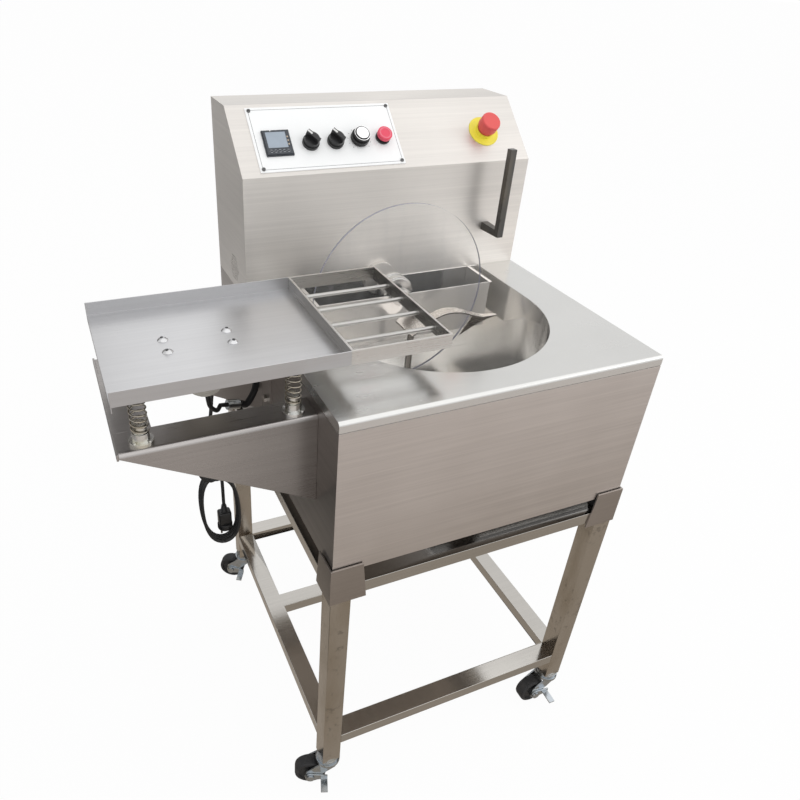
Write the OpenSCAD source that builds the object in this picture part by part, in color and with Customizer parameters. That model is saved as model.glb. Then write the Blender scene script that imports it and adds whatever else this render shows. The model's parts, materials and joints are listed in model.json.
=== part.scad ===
// Wheel-type chocolate melting and moulding machine on a caster stand.
// Millimetres, +Z up. The origin is on the floor, under the middle of the outline.
// Pieces are placed from a datum: the cabinet's middle plane, the housing's front face, the floor.

/* [Cabinet] */
// Width of the cabinet and the housing
cab_w = 561; // [510:1:660]
// Depth of the deck in front of the housing
deck_d = 426; // [410:1:490]
// Height of the deck above the floor
deck_z = 888; // [840:1:975]
// Height of the cabinet body
cab_h = 284; // [262:1:350]
// Thickness of the stainless sheet
sheet = 1.5; // [1:0.1:2.5]
// Height of the deck's turned-down lip
lip_h = 17; // [12:1:29]
// Fold radius along the deck's front edge
fold_r = 6; // [4:0.5:10]
// Shadow gap between the lip and the shell
seam = 0.6; // [0.4:0.1:0.9]

/* [Back housing] */
// Depth of the housing
hous_d = 187; // [172:1:240]
// Height of the housing above the deck
hous_h = 296.5; // [276:0.5:366]
// Height of the slope's foot above the deck
slope_z = 202.5; // [186:0.5:220]
// Depth of the slope
slope_y = 100; // [90:1:116]
// How far the front panel runs down behind the tank
panel_drop = 85; // [61:1:110]
// Middle of the side vent behind the front panel
vent_y = 75.5; // [61:0.5:98]
// Middle of the side vent above the deck
vent_z = 21; // [18:1:73]
// Radius of the side vent
vent_r = 28; // [20:1:29]

/* [Tank] */
// Half width of the tank, and radius of its round front
tank_r = 200; // [193:1:213]
// Distance from the housing to the middle of the round front
tank_mid = 171; // [153:1:183]
// Depth of the tank
tank_h = 183; // [173:1:220]
// Half width of the box round the hub
box_hw = 175.5; // [146:0.5:185]
// Depth of that box in front of the housing
box_d = 85; // [84:0.5:85.5]
// Height of that box
box_h = 91.5; // [61:0.5:122]
// Width of the bright turned edge round the box
box_rim = 5; // [3:0.5:9]

/* [Wheel] */
// Radius of the clear wheel
wheel_r = 168.5; // [146:0.5:170]
// Thickness of the clear wheel
wheel_t = 5; // [3:0.5:5.5]
// Front face of the wheel, in front of the housing
wheel_y = 91.8; // [91.5:0.1:92]
// Place of the axle across the machine
wheel_x = -20.5; // [-25:0.5:0]
// Place of the axle above the deck
wheel_z = 0; // [0:0.5:5]
// Radius of the wheel's shaft
shaft_r = 10; // [8:0.5:11]
// Radius of the hub drum
hub_r = 31.5; // [25:0.5:36]
// Length of the hub drum
hub_l = 29; // [22:1:36]

/* [Stand] */
// Side of the square leg tube
tube = 36; // [30:1:44]
// Height of the rail tube
rail_h = 24; // [20:1:32]
// Wall of the tubes
tube_wall = 1.8; // [1.5:0.1:3]
// Space between cabinet and corner plates
stand_fit = 1.5; // [1:0.1:3]
// Thickness of the corner plates
plate_t = 3; // [2:0.5:4]
// Height of the corner plates
plate_h = 75.5; // [68:0.5:98]
// How far the corner plates reach up the cabinet
plate_up = 12; // [8:1:24]
// Width of the corner plates along the front
plate_w = 52.5; // [46:0.5:72]
// Slant of the corner plates' free edge
plate_slant = 8.5; // [0:0.5:14]
// Height of the rubber feet under the cabinet
foot_h = 31.5; // [25:0.5:39]
// Radius of the rubber feet
foot_r = 17; // [12:1:18]
// Height of the lower rails' top above the floor
low_rail = 157.5; // [140:0.5:240]
// Middle of the cross rail in front of the housing
cross_y = 78; // [50:1:146]

/* [Casters] */
// Height of the whole caster
caster_h = 82; // [80:1:90]
// Diameter of the caster wheel
roll_d = 62; // [56:1:63]
// Width of the caster wheel
roll_w = 24; // [20:1:24]
// Trail of the caster
trail = 34; // [27:1:39]
// Radius of the swivel crown
crown_r = 24; // [22:0.5:29]
// Radius of the fixed head
head_r = 21.5; // [18:0.5:27]
// How far the brake lever stands out from the wheel's middle
lever_out = 46.5; // [39:0.5:56]
// Length of the brake lever's arm along the fork
lever_arm = 34; // [27:1:39]
// How far the front left caster is swung
turn_fl = -20; // [-45:1:0]
// How far the back left caster is swung
turn_bl = -30; // [-45:1:0]

/* [Vibrating table] */
// Reach of the arms beyond the cabinet
arm_out = 274.5; // [250:0.5:315]
// Drop of the arms' top below the deck
arm_drop = 33; // [27:1:49]
// Height of the arms at the cabinet
arm_h = 157.5; // [122:0.5:180]
// Height of the arms at their tip
arm_tip = 7.5; // [5:0.5:24]
// Width of the arms' top flange
arm_w = 50; // [44:1:60]
// Front face of the front arm, in front of the housing
arm_front = 352.5; // [342:0.5:361]
// Back face of the rear arm, in front of the housing
arm_back = 86.5; // [76:0.5:97]
// Fold radius of the arms
arm_r = 7; // [5:1:12]
// Front of the tray, in front of the housing
tray_front = 358.5; // [349:0.5:372]
// Back of the tray, in front of the housing
tray_back = 94; // [94:0.5:102]
// Length of the tray's solid part
tray_l = 319.5; // [293:0.5:327]
// Length of the open grille
grille_l = 158.5; // [134:0.5:165]
// Height of the tray's floor above the deck
tray_z = 45; // [40:1:60]
// Height of the tray's lips above its floor
tray_lip = 20.5; // [12:0.5:36]
// Thickness of the grille bars
bar_t = 3.5; // [2:0.5:6]
// Radius of the grille rods
rod_r = 3.5; // [2.5:0.5:5]
// Drop of the tray's left edge
tray_drop = 10; // [5:1:15]
// Inset of the springs from the arm's tip
spring_in = 32.5; // [25:0.5:48]
// Distance between the springs along an arm
spring_gap = 211.5; // [183:0.5:220]
// Inset of the springs from the arm's outer face
spring_face = 20.5; // [18:0.5:27]
// Outer radius of the springs
spring_r = 12; // [10:0.5:13]
// Radius of the spring wire
wire_r = 1.2; // [1:0.1:1.6]
// Turns of each spring
spring_turns = 6.5; // [5:0.5:7]
// Height of the spring seats
seat_h = 17; // [12:1:22]
// Radius of the spring seats' flange
seat_r = 16.5; // [14:0.5:18]

/* [Vibration motor] */
// Radius of the motor
vib_r = 31.5; // [27:0.5:33]
// Length of the motor
vib_l = 88; // [78:1:134]
// Place of the motor from the tray's left end
vib_in = 138; // [128:1:146]
// Distance of the motor's axis below the tray's floor
vib_drop = 45; // [44:0.5:58]
// Bolt spacing along the tray
vib_bx = 92.5; // [80:0.5:110]
// Bolt spacing across the tray
vib_by = 36.5; // [30:0.5:48]
// Radius of the motor lead
lead_r = 3.5; // [2.5:0.5:4.5]

/* [L bar] */
// Place of the pivot across the machine
bar_x = 202.5; // [183:0.5:230]
// Height of the pivot above the deck
bar_z = 80.5; // [73:0.5:98]
// Side of the square bar
bar_s = 14.5; // [11:0.5:16]
// Length of the bar forward
bar_fwd = 56; // [46:1:73]
// Length of the bar upward from the pivot
bar_up = 155; // [110:1:170]

/* [Control panel] */
// Left edge of the control plate
cp_x0 = -247.5; // [-262:0.5:-238]
// Right edge of the control plate
cp_x1 = 19.5; // [14:0.5:73]
// Lower edge of the control plate on the slope
cp_v0 = 8; // [5:0.5:15]
// Height of the control plate along the slope
cp_h = 122; // [112:1:122]
// Place of the row of controls on the slope
row_v = 60; // [57:0.5:68]
// Place of the temperature controller
ctl_x = -206.5; // [-210:0.5:-203]
// Side of the temperature controller
ctl_s = 48; // [44:1:50]
// Place of the first selector
sel1_x = -148; // [-152:0.5:-144]
// Place of the second selector
sel2_x = -102.5; // [-106:0.5:-98]
// Place of the selectors up the slope
sel_v = 57.5; // [55:0.5:66]
// Place of the dial
dial_x = -56.5; // [-60:0.5:-53]
// Place of the red button
red_x = -11.5; // [-15:0.5:-8]
// Place of the emergency stop across the slope
stop_x = 200.5; // [183:0.5:220]
// Place of the emergency stop up the slope
stop_v = 63; // [58:0.5:68]
// Turn of the selectors' handles from upright
sel_turn = 40; // [30:1:45]
// Outer radius of the bezels
bezel_r = 14.8; // [13.5:0.1:15.5]
// Radius of the emergency stop's disc
stop_disc_r = 30; // [27:1:36]
// Radius of the emergency stop's head
stop_r = 18.5; // [17:0.5:21]

/* [Power cord] */
// Radius of the cord
cord_r = 4; // [3:0.25:4.5]
// Half width of the hank
hank_w = 42; // [37:0.5:51]
// Half height of the hank
hank_h = 100; // [92:1:120]
// Lean of the hank's foot towards the stand
hank_lean = 10; // [0:1:15]
// Loops of the hank
hank_n = 3; // [2:1:3]
// Step from loop to loop
hank_step = 10.5; // [10:0.5:13]
// How much fuller than an ellipse the hank's folds are
hank_full = 0.2; // [0:0.05:0.3]
// Place of the cord's gland behind the housing's front
gland_y = 107.5; // [90:0.5:125]
// Drop of the gland below the deck
gland_drop = 232; // [200:1:250]
// Drop of the hank's middle below the deck
hank_drop = 588; // [560:1:600]
// Space between the hank's middle and the cabinet's side
hank_out = 55.5; // [50:0.5:60]
// Space between the plug's middle and the cabinet's side
plug_out = 38; // [34:0.5:42]
// Drop of the plug's top below the deck
plug_drop = 595.5; // [570:0.5:620]

/* [Clearances] */
// Radial clearance of turning shafts
run = 0.05; // [0.02:0.01:0.1]
// Gap beside moving faces
gap = 0.3; // [0.3:0.05:0.6]
// Gap round pieces pushed into each other
fit = 0.1; // [0.05:0.01:0.2]
// Working travel of the red button
red_travel = 3.5; // [2:0.5:4]
// Working travel of the emergency stop
stop_travel = 5; // [3:0.5:5.5]

/* [Hidden] */
$fn = 48;
half_w = cab_w / 2;
body_z = deck_z - cab_h;
rail_z = body_z - foot_h;
top_z = deck_z + hous_h;
lip_z = deck_z - lip_h;
slope_a = atan2(hous_h - slope_z, slope_y);

leg_x = half_w + stand_fit - tube / 2;
leg_f = -(deck_d + stand_fit) + tube / 2;
leg_b = hous_d + stand_fit - tube / 2;
corners = [[-leg_x, leg_f], [leg_x, leg_f], [-leg_x, leg_b], [leg_x, leg_b]];
turns = [turn_fl, 0, turn_bl, 0];
plate_z = body_z + plate_up - plate_h;

arm_z = deck_z - arm_drop;
arm_x0 = -half_w - arm_out;
strip_t = 3;
bolt_r = 4;
hole_in = 27;
hole_z = [arm_z - 37, arm_z - arm_h + 41];
hex_r = 7.5;
hex_h = 5.5;
pan_r = 8;
pan_h = 4.5;
left_end = arm_x0 - strip_t;
leg_out = max(tube / 2 + plate_t, crown_r, head_r);
right_end = leg_x + leg_out;
front_end = leg_f - lever_out;
tread_r = roll_d / 2 - 3;
swung_out = (trail + tread_r) * sin(-turn_bl) + roll_w / 2 * cos(turn_bl);
back_end = leg_b + max(leg_out, swung_out);
mid_x = (left_end + right_end) / 2;
mid_y = (front_end + back_end) / 2;

axle_z = roll_d / 2;
head_t = 7;
crown_t = 6.5;
crown_z = caster_h - head_t - gap - crown_t;
cheek_y = roll_w / 2 + 2.5;
cheek_t = 3;
axle_r = 5;
king_r = 6;
lever_t = 3;
lever_h = 5;
nut_r = 8;
nut_t = 3;
stem_h = 30;

hub_ax_z = deck_z + wheel_z;
bear_r = hub_r;
bear_t = 8;
boss_r = 16;
boss_l = 16;
brack_s = 70;
brack_t = 4;
gear_s = 52;
gear_l = 88;
drive_r = 38;
drive_l = 110;
shaft_in = 72;
bush_r = 11;
bush_l = 30;
pivot_r = 7;
vent_step = 6;
vent_hole = 2;
dev_r = 11;
dev_l = 44;
dev_h = 6;
red_h = 8;
win_w = 18.5;
win_h = 30;
win_v = -10.5;
key_v = -16.5;
key_r = 2.8;
key_step = 7.5;
knob_r = 13.3;
skirt_r = 16.5;
neck_out = 15;
stop_rise = 1 + stop_travel + gap;
drum_y = box_d - sheet - 2;
neck_r = shaft_r + 1.5;
notch_r = neck_r + 1;

tray_top = deck_z + tray_z;
tray_x0 = arm_x0 - 0.5;
cross_x = tray_x0 + tray_l;
grille_x = cross_x + grille_l;
lip_top = tray_top + tray_lip;
rod_z = tray_top + tray_lip / 2 - 0.5;
rod_first = 60;
rod_last = 45;
rod_pitch = (tray_front - tray_back - rod_first - rod_last) / 3;
tray_bot = tray_top - sheet;
spring_x = [arm_x0 + spring_in, arm_x0 + spring_in + spring_gap];
spring_y = [-arm_front + spring_face, -arm_back - spring_face];
seat_top = arm_z + seat_h;
pin_r = spring_r - 2 * wire_r - 0.7;
motor_x = tray_x0 + vib_in;
motor_y = -(tray_front + tray_back) / 2;
motor_z = tray_top - vib_drop;
foot_t = 9;

lead_x = 5;
lead_y = 29 - vib_l / 2;
lead_out = [motor_x + lead_x, motor_y + lead_y, motor_z - vib_r - 3];
coup_a = [motor_x + 38, motor_y + 7.5, deck_z - 77];
coup_b = [motor_x + 58.5, motor_y + 11, deck_z - 82];
coup_u = unit(coup_b - coup_a);
port = [-half_w, motor_y + 58.5, deck_z - 51];
port_l = 13;
coup_r = 8;
pipe_r = 5.5;

cord_port = [-half_w, gland_y, deck_z - gland_drop];
gland_l = 17;
hank_c = [-half_w - hank_out, gland_y - 5, deck_z - hank_drop];
plug_l = 70;
plug_top = [-half_w - plug_out, hank_c[1] + hank_step * hank_n, deck_z - plug_drop];

// Small helpers

module datum() {
    translate([-mid_x, -mid_y, 0])
        children();
}

// A box from its two corners
module bx(a, b) {
    translate(a)
        cube(b - a);
}

module cyl_y(r, y0, y1) {
    translate([0, y1, 0])
        rotate([90, 0, 0])
            cylinder(r = r, h = y1 - y0);
}

module cyl_x(r, x0, x1) {
    translate([x0, 0, 0])
        rotate([0, 90, 0])
            cylinder(r = r, h = x1 - x0);
}

// A shape drawn in Y and Z, run along X
module along_x(x0, x1) {
    translate([x0, 0, 0])
        rotate([90, 0, 90])
            linear_extrude(x1 - x0)
                children();
}

// A shape drawn in X and Z, run along Y
module along_y(y0, y1) {
    translate([0, y1, 0])
        rotate([90, 0, 0])
            linear_extrude(y1 - y0)
                children();
}

// Places a piece on the slope: u across, v up the slope, z out of it
module on_slope(u, v) {
    translate([u, 0, deck_z + slope_z])
        rotate([slope_a, 0, 0])
            translate([0, v, 0])
                children();
}

module box_tube(a, b, ax) {
    w = [for (i = [0:2]) i == ax ? -1 : tube_wall];
    difference() {
        bx(a, b);
        bx(a + w, b - w);
    }
}

// Round-headed screw with a driver slot, head up, seat at z 0
module screw(r, h, stem_r, stem_l) {
    difference() {
        cylinder(r = r, h = h, $fn = 24);
        translate([-r * 0.7, -0.5, h * 0.55])
            cube([r * 1.4, 1, h]);
    }
    translate([0, 0, -stem_l])
        cylinder(r = stem_r, h = stem_l + h * 0.3, $fn = 24);
}

// Hexagon bolt, head up, seat at z 0
module hex_bolt(r, h, stem_r, stem_l) {
    cylinder(r = r, h = h, $fn = 6);
    translate([0, 0, -stem_l])
        cylinder(r = stem_r, h = stem_l + h * 0.3, $fn = 24);
}

// Domed bolt, head up, seat at z 0
module pan_bolt(r, h, stem_r, stem_l) {
    dome = (r * r + h * h) / (2 * h);
    intersection() {
        translate([0, 0, h - dome])
            sphere(r = dome);
        cylinder(r = r, h = h);
    }
    translate([0, 0, -stem_l])
        cylinder(r = stem_r, h = stem_l + h * 0.3, $fn = 24);
}

// Swept tubes

function unit(v) = v / norm(v);
function tang(p, i) = unit(p[min(i + 1, len(p) - 1)] - p[max(i - 1, 0)]);
function square_to(u, t) = unit(u - (u * t) * t);
function frames(p, u0) = [for (i = 0, u = square_to(u0, tang(p, 0)); i < len(p);
    i = i + 1, u = square_to(u, tang(p, min(i, len(p) - 1)))) u];

module sweep(p, r, n, u0) {
    f = frames(p, u0);
    m = len(p);
    pts = [for (i = [0:m - 1], k = [0:n - 1])
        let (t = tang(p, i), a = 360 * k / n) p[i] + r * (cos(a) * f[i] + sin(a) * cross(t, f[i]))];
    sides = [for (i = [0:m - 2], k = [0:n - 1], h = [0, 1])
        let (a = i * n + k, b = i * n + (k + 1) % n) h == 0 ? [a, a + n, b + n] : [a, b + n, b]];
    caps = [[for (k = [0:n - 1]) k], [for (k = [0:n - 1]) m * n - 1 - k]];
    polyhedron(points = pts, faces = concat(sides, caps), convexity = 10);
}

// Rounds a run of points by smooth curves through them
function spot(a, b, c, d, t) = 0.5 * (2 * b + (c - a) * t + (2 * a - 5 * b + 4 * c - d) * t * t
    + (3 * b - a - 3 * c + d) * t * t * t);
function smooth(p, s) = concat([for (i = [0:len(p) - 2], k = [0:s - 1])
    spot(p[max(i - 1, 0)], p[i], p[i + 1], p[min(i + 2, len(p) - 1)], k / s)], [p[len(p) - 1]]);

// Least gap of a tube to itself, measured between points more than `skip` apart
function self_gap(p, r, skip) = min([for (i = [0:len(p) - 1], j = [i + skip:1:len(p) - 1])
    norm(p[i] - p[j])]) - 2 * r;

// Stand

module stand_legs() {
    color("silver")
        datum()
            for (c = corners)
                translate([c[0], c[1], 0])
                    difference() {
                        bx([-tube / 2, -tube / 2, caster_h], [tube / 2, tube / 2, rail_z]);
                        bx([tube_wall - tube / 2, tube_wall - tube / 2, caster_h - 1],
                            [tube / 2 - tube_wall, tube / 2 - tube_wall, rail_z - 3]);
                    }
}

module rail_ring(top) {
    xi = leg_x - tube / 2;
    for (y = [leg_f, leg_b])
        box_tube([-xi, y - tube / 2, top - rail_h], [xi, y + tube / 2, top], 0);
    for (x = [-leg_x, leg_x])
        box_tube([x - tube / 2, leg_f + tube / 2, top - rail_h], [x + tube / 2, leg_b - tube / 2, top], 1);
}

module stand_rails() {
    xi = leg_x - tube / 2;
    color("silver")
        datum() {
            rail_ring(rail_z);
            rail_ring(low_rail);
            box_tube([-xi, -cross_y - tube / 2, low_rail - rail_h],
                [xi, -cross_y + tube / 2, low_rail], 0);
        }
}

module corner_plate() {
    o = tube / 2;
    along_y(-o - plate_t, -o)
        polygon([[-o - plate_t, plate_z], [plate_w - o + plate_slant, plate_z],
            [plate_w - o, plate_z + plate_h], [-o - plate_t, plate_z + plate_h]]);
    along_x(-o - plate_t, -o)
        polygon([[-o - plate_t, plate_z], [plate_w - 6 - o + plate_slant, plate_z],
            [plate_w - 6 - o, plate_z + plate_h], [-o - plate_t, plate_z + plate_h]]);
}

module corner_plates() {
    color("gainsboro")
        datum()
            for (sx = [1, -1], fb = [0, 1])
                translate([-sx * leg_x, fb == 0 ? leg_f : leg_b, 0])
                    mirror([sx > 0 ? 0 : 1, 0, 0])
                        mirror([0, fb, 0])
                            corner_plate();
}

module rubber_feet() {
    in = 5;
    color("dimgray")
        datum()
            for (sx = [-1, 1], y = [leg_f + in, leg_b - in])
                translate([sx * (leg_x - in), y, rail_z])
                    cylinder(r = foot_r, h = foot_h);
}

// Casters

module caster_heads() {
    s = tube - 2 * tube_wall - 2 * fit;
    color("lightgray")
        datum()
            for (c = corners)
                translate([c[0], c[1], 0]) {
                    translate([-s / 2, -s / 2, caster_h])
                        cube([s, s, stem_h]);
                    translate([0, 0, caster_h - head_t])
                        cylinder(r = head_r, h = head_t);
                    translate([0, 0, crown_z - gap])
                        cylinder(r = king_r, h = caster_h - crown_z);
                    translate([0, 0, crown_z - gap - 3])
                        cylinder(r = king_r + 4, h = 3);
                }
}

// Places a piece on one caster, which is swung about its stem
module on_caster(i) {
    datum()
        translate([corners[i][0], corners[i][1], 0])
            rotate([0, 0, turns[i]])
                children();
}

module fork(i) {
    y1 = cheek_y + cheek_t;
    y2 = y1 + 2 * gap + lever_t;
    color("lightgray")
        on_caster(i)
            difference() {
                union() {
                    translate([0, 0, crown_z])
                        cylinder(r = crown_r, h = crown_t);
                    for (y = [-y1, cheek_y])
                        along_y(y, y + cheek_t)
                            fork_cheek();
                    translate([-trail, 0, axle_z]) {
                        cyl_y(axle_r, -y2 - 1, y1 + 2);
                        cyl_y(nut_r, y1, y1 + nut_t);
                        cyl_y(nut_r, -y2 - nut_t, -y2);
                    }
                }
                translate([0, 0, crown_z - 1])
                    cylinder(r = king_r + run, h = crown_t + 2);
            }
}

module fork_cheek() {
    polygon([[14.5, crown_z + 2], [14.5, crown_z - 5], [10 - trail, axle_z - 7], [-10 - trail, axle_z - 5],
        [-8.5 - trail, axle_z + 14.5], [-16, crown_z - 1], [-16, crown_z + 2]]);
    translate([-trail, axle_z])
        circle(r = 11);
}

module roll(i) {
    h = roll_w / 2;
    b = cheek_y - 0.5;
    color("dimgray")
        on_caster(i)
            translate([-trail, 0, axle_z])
                rotate([90, 0, 0])
                    rotate_extrude($fn = 72)
                        polygon([[axle_r + run, -b], [10, -b], [10.5, -h + 3], [roll_d / 2 - 8.5, -h + 3],
                            [roll_d / 2 - 7.5, -h], [tread_r, -h], [roll_d / 2 - 0.8, -h + 1.5],
                            [roll_d / 2, -h + 4.5], [roll_d / 2, h - 4.5], [roll_d / 2 - 0.8, h - 1.5],
                            [tread_r, h], [roll_d / 2 - 7.5, h], [roll_d / 2 - 8.5, h - 3],
                            [10.5, h - 3], [10, b], [axle_r + run, b]]);
}

module brake(i) {
    y0 = -cheek_y - cheek_t - gap;
    y1 = y0 - lever_t;
    x0 = lever_arm - 13.5;
    color("whitesmoke")
        on_caster(i)
            translate([-trail, 0, axle_z]) {
                difference() {
                    union() {
                        cyl_y(2 * lever_h, y1, y0);
                        along_y(y1, y0)
                            polygon([[0, 2 * lever_h], [lever_arm, lever_h],
                                [lever_arm, -lever_h], [0, -2 * lever_h]]);
                    }
                    cyl_y(axle_r + run, y1 - 1, y0 + 1);
                }
                along_x(x0, lever_arm)
                    polygon([[y0, -lever_h], [y0, lever_t - lever_h], [y1, lever_t - lever_h],
                        [-lever_out, -4.5], [-lever_out, -7.5], [y1, -lever_h]]);
            }
}

// Cabinet

module cabinet_shell() {
    y0 = -deck_d;
    z1 = lip_z - seam;
    color("gainsboro")
        datum()
            difference() {
                bx([-half_w, y0, body_z], [half_w, hous_d, z1]);
                bx([sheet - half_w, y0 + sheet, body_z - 1], [half_w - sheet, hous_d + 1, z1 + 1]);
                translate(cord_port)
                    cyl_x(cord_r + 4, -1, sheet + 1);
                translate(port)
                    cyl_x(pipe_r + 3.5, -1, sheet + 1);
                for (p = arm_holes())
                    translate([-half_w, p[0], p[1]])
                        cyl_x(bolt_r + fit, -1, sheet + 1);
            }
}

module bottom_plate() {
    g = sheet + fit;
    color("darkgray")
        datum()
            difference() {
                union() {
                    bx([g - half_w, g - deck_d, body_z], [half_w - g, hous_d - g, body_z + sheet]);
                    for (y = [g - deck_d, hous_d - 2 * sheet - fit])
                        bx([g - half_w, y, body_z], [half_w - g, y + sheet, body_z + 17]);
                }
                for (i = [-5:5])
                    bx([i * 30 - 3.5, -183, body_z - 1], [i * 30 + 3.5, -73, body_z + sheet + 1]);
            }
}

module deck_side(d) {
    difference() {
        translate([d - deck_d, lip_z - d])
            square([deck_d - d, lip_h]);
        translate([d - deck_d, deck_z - fold_r])
            square([fold_r - d, fold_r + 1]);
    }
    intersection() {
        translate([fold_r - deck_d, deck_z - fold_r])
            circle(r = fold_r - d);
        translate([d - deck_d, deck_z - fold_r])
            square([fold_r - d, fold_r - d]);
    }
}

// The tank's plan: round front, straight sides, cut off square at the back
module u_shape(r, back) {
    intersection() {
        translate([0, -tank_mid])
            circle(r = r, $fn = 96);
        translate([-r, -tank_mid - r])
            square([2 * r, r + tank_mid + back]);
    }
    translate([-r, -tank_mid])
        square([2 * r, tank_mid + back]);
}

module top_deck() {
    color("whitesmoke")
        datum()
            difference() {
                along_x(-half_w, half_w)
                    deck_side(0);
                along_x(sheet - half_w, half_w - sheet)
                    deck_inner();
                translate([0, 0, deck_z - sheet - 1])
                    linear_extrude(sheet + 2)
                        u_shape(tank_r, 1);
            }
}

module deck_inner() {
    difference() {
        translate([sheet - deck_d, lip_z - 1])
            square([deck_d + 1, lip_h + 1 - sheet]);
        translate([sheet - deck_d, deck_z - fold_r])
            square([fold_r - sheet, fold_r + 1]);
    }
    intersection() {
        translate([fold_r - deck_d, deck_z - fold_r])
            circle(r = fold_r - sheet);
        translate([sheet - deck_d, deck_z - fold_r])
            square([fold_r - sheet, fold_r - sheet]);
    }
}

module tank() {
    z0 = deck_z - sheet;
    color("lightgray")
        datum()
            difference() {
                union() {
                    translate([0, 0, z0 - tank_h])
                        linear_extrude(tank_h)
                            u_shape(tank_r + sheet, 0);
                    translate([0, 0, z0 - sheet])
                        linear_extrude(sheet)
                            u_shape(tank_r + 15, 0);
                }
                translate([0, 0, z0 - tank_h + sheet])
                    linear_extrude(tank_h + 1)
                        u_shape(tank_r, -sheet);
                translate([wheel_x, 0, hub_ax_z])
                    cyl_y(bear_r + 1, -5, 1);
                bx([wheel_x - bear_r - 1, -5, hub_ax_z], [wheel_x + bear_r + 1, 1, deck_z + 40]);
            }
}

module hub_box() {
    z0 = deck_z - box_h;
    y1 = -sheet - fit;
    color("silver")
        datum()
            difference() {
                union() {
                    bx([-box_hw, -box_d, z0], [box_hw, y1, deck_z]);
                    bx([-box_hw - box_rim, -box_d, deck_z - sheet], [box_hw + box_rim, y1, deck_z]);
                }
                bx([sheet - box_hw, sheet - box_d, z0 + sheet], [box_hw - sheet, 1, deck_z + 1]);
                translate([wheel_x, 0, hub_ax_z])
                    cyl_y(notch_r, -box_d - 1, 2 - box_d + sheet);
                bx([wheel_x - notch_r, -box_d - 1, hub_ax_z],
                    [wheel_x + notch_r, 2 - box_d + sheet, deck_z + 9]);
            }
}

module heater_mats() {
    z1 = deck_z - sheet - tank_h;
    color("sienna")
        datum()
            for (s = [-1, 1])
                bx([s > 0 ? 17 : -139, -tank_mid - 110, z1 - 4], [s > 0 ? 139 : -17, -tank_mid + 85, z1]);
}

module tank_probe() {
    z1 = deck_z - sheet - tank_h;
    color("dimgray")
        datum()
            translate([0, -tank_mid, z1 - 30]) {
                cylinder(r = 4, h = 30);
                translate([0, 0, 22])
                    cylinder(r = 7, h = 8, $fn = 6);
            }
}

module scraper() {
    t = 3;
    z0 = deck_z - sheet - tank_h + sheet;
    y1 = -wheel_y - 3.5;
    y0 = y1 - 63.5;
    bend = [[-27, -46.5], [-2.5, -32.5], [18.5, -16], [46.5, 0.5], [88, -17], [118.5, -31], [136.5, -34],
        [149, -31.5]];
    top = [for (p = smooth(bend, 4)) [p[0], deck_z + p[1]]];
    low = [for (i = [len(top) - 1:-1:0]) top[i] - [0, t]];
    color("silver")
        datum() {
            difference() {
                along_y(y0, y1)
                    polygon(concat(top, low));
                translate([0, 0, deck_z - 97])
                    linear_extrude(146)
                        polygon([[24.5, y1 + 1], [73, y1 - 12], [134, y1 - 41.5], [144, y1 - 46.5],
                            [171, y1 - 46.5], [171, y1 + 1]]);
            }
            translate([-19.5, y0 + 17, z0])
                cylinder(r = 6, h = deck_z - 45 - z0);
            translate([-19.5, y0 + 17, z0])
                cylinder(r = 22, h = 4);
        }
}

// Back housing

// The housing's side outline, shrunk by d and run on to the back by e
module hous_side(d, e) {
    k = d * tan(slope_a / 2);
    c = d * tan((90 - slope_a) / 2);
    polygon([[d, lip_z - panel_drop], [d, deck_z + slope_z - c], [slope_y + k, top_z - d],
        [hous_d + e, top_z - d], [hous_d + e, lip_z - panel_drop]]);
}

module slope_holes(t) {
    on_slope(ctl_x, row_v)
        bx([-ctl_s / 2 + 1.5, -ctl_s / 2 + 1.5, -t], [ctl_s / 2 - 1.5, ctl_s / 2 - 1.5, t]);
    for (p = [[sel1_x, sel_v], [sel2_x, sel_v], [dial_x, row_v], [red_x, row_v], [stop_x, stop_v]])
        on_slope(p[0], p[1])
            translate([0, 0, -t])
                cylinder(r = dev_r + fit, h = 2 * t);
}

function vent_spot(i, j) = [vent_step * (i + (abs(j) % 2) / 2), vent_step * j * sin(60)];

module housing_shell() {
    color("white")
        datum()
            difference() {
                along_x(-half_w, half_w)
                    hous_side(0, 0);
                along_x(sheet - half_w, half_w - sheet)
                    hous_side(sheet, 1);
                for (s = [-1, 1])
                    bx([s > 0 ? half_w - sheet - fit : -half_w - 1, -1, lip_z - panel_drop - 1],
                        [s > 0 ? half_w + 1 : sheet + fit - half_w, hous_d + 1, lip_z]);
                bx([-half_w - 1, sheet, lip_z - panel_drop - 1], [half_w + 1, hous_d + 1, lip_z - 0.01]);
                slope_holes(6);
                translate([wheel_x, 0, hub_ax_z])
                    cyl_y(boss_r + fit, -1, sheet + 1);
                translate([bar_x, 0, deck_z + bar_z])
                    cyl_y(bush_r + fit, -1, sheet + 1);
                for (i = [-5:5], j = [-5:5])
                    if (norm(vent_spot(i, j)) < vent_r - vent_hole)
                        translate([0, vent_y, deck_z + vent_z] + concat(0, vent_spot(i, j)))
                            cyl_x(vent_hole, -half_w - 1, sheet - half_w + 1, $fn = 16);
            }
}

function cover_points() = [for (x = [17 - half_w, 0, half_w - 17],
    z = [body_z + 49, deck_z - 37, top_z - 17]) [x, z]];

module back_cover() {
    g = sheet + fit;
    color("gainsboro")
        datum()
            difference() {
                bx([g - half_w, hous_d - sheet, body_z], [half_w - g, hous_d, top_z - g]);
                for (i = [0:5], x = [-110, 36])
                    bx([x, hous_d - 5, deck_z + 49 + i * 20], [x + 74, hous_d + 1, deck_z + 55 + i * 20]);
                for (p = cover_points())
                    translate([p[0], 0, p[1]])
                        cyl_y(2 + fit, hous_d - 5, hous_d + 1, $fn = 24);
            }
}

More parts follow.
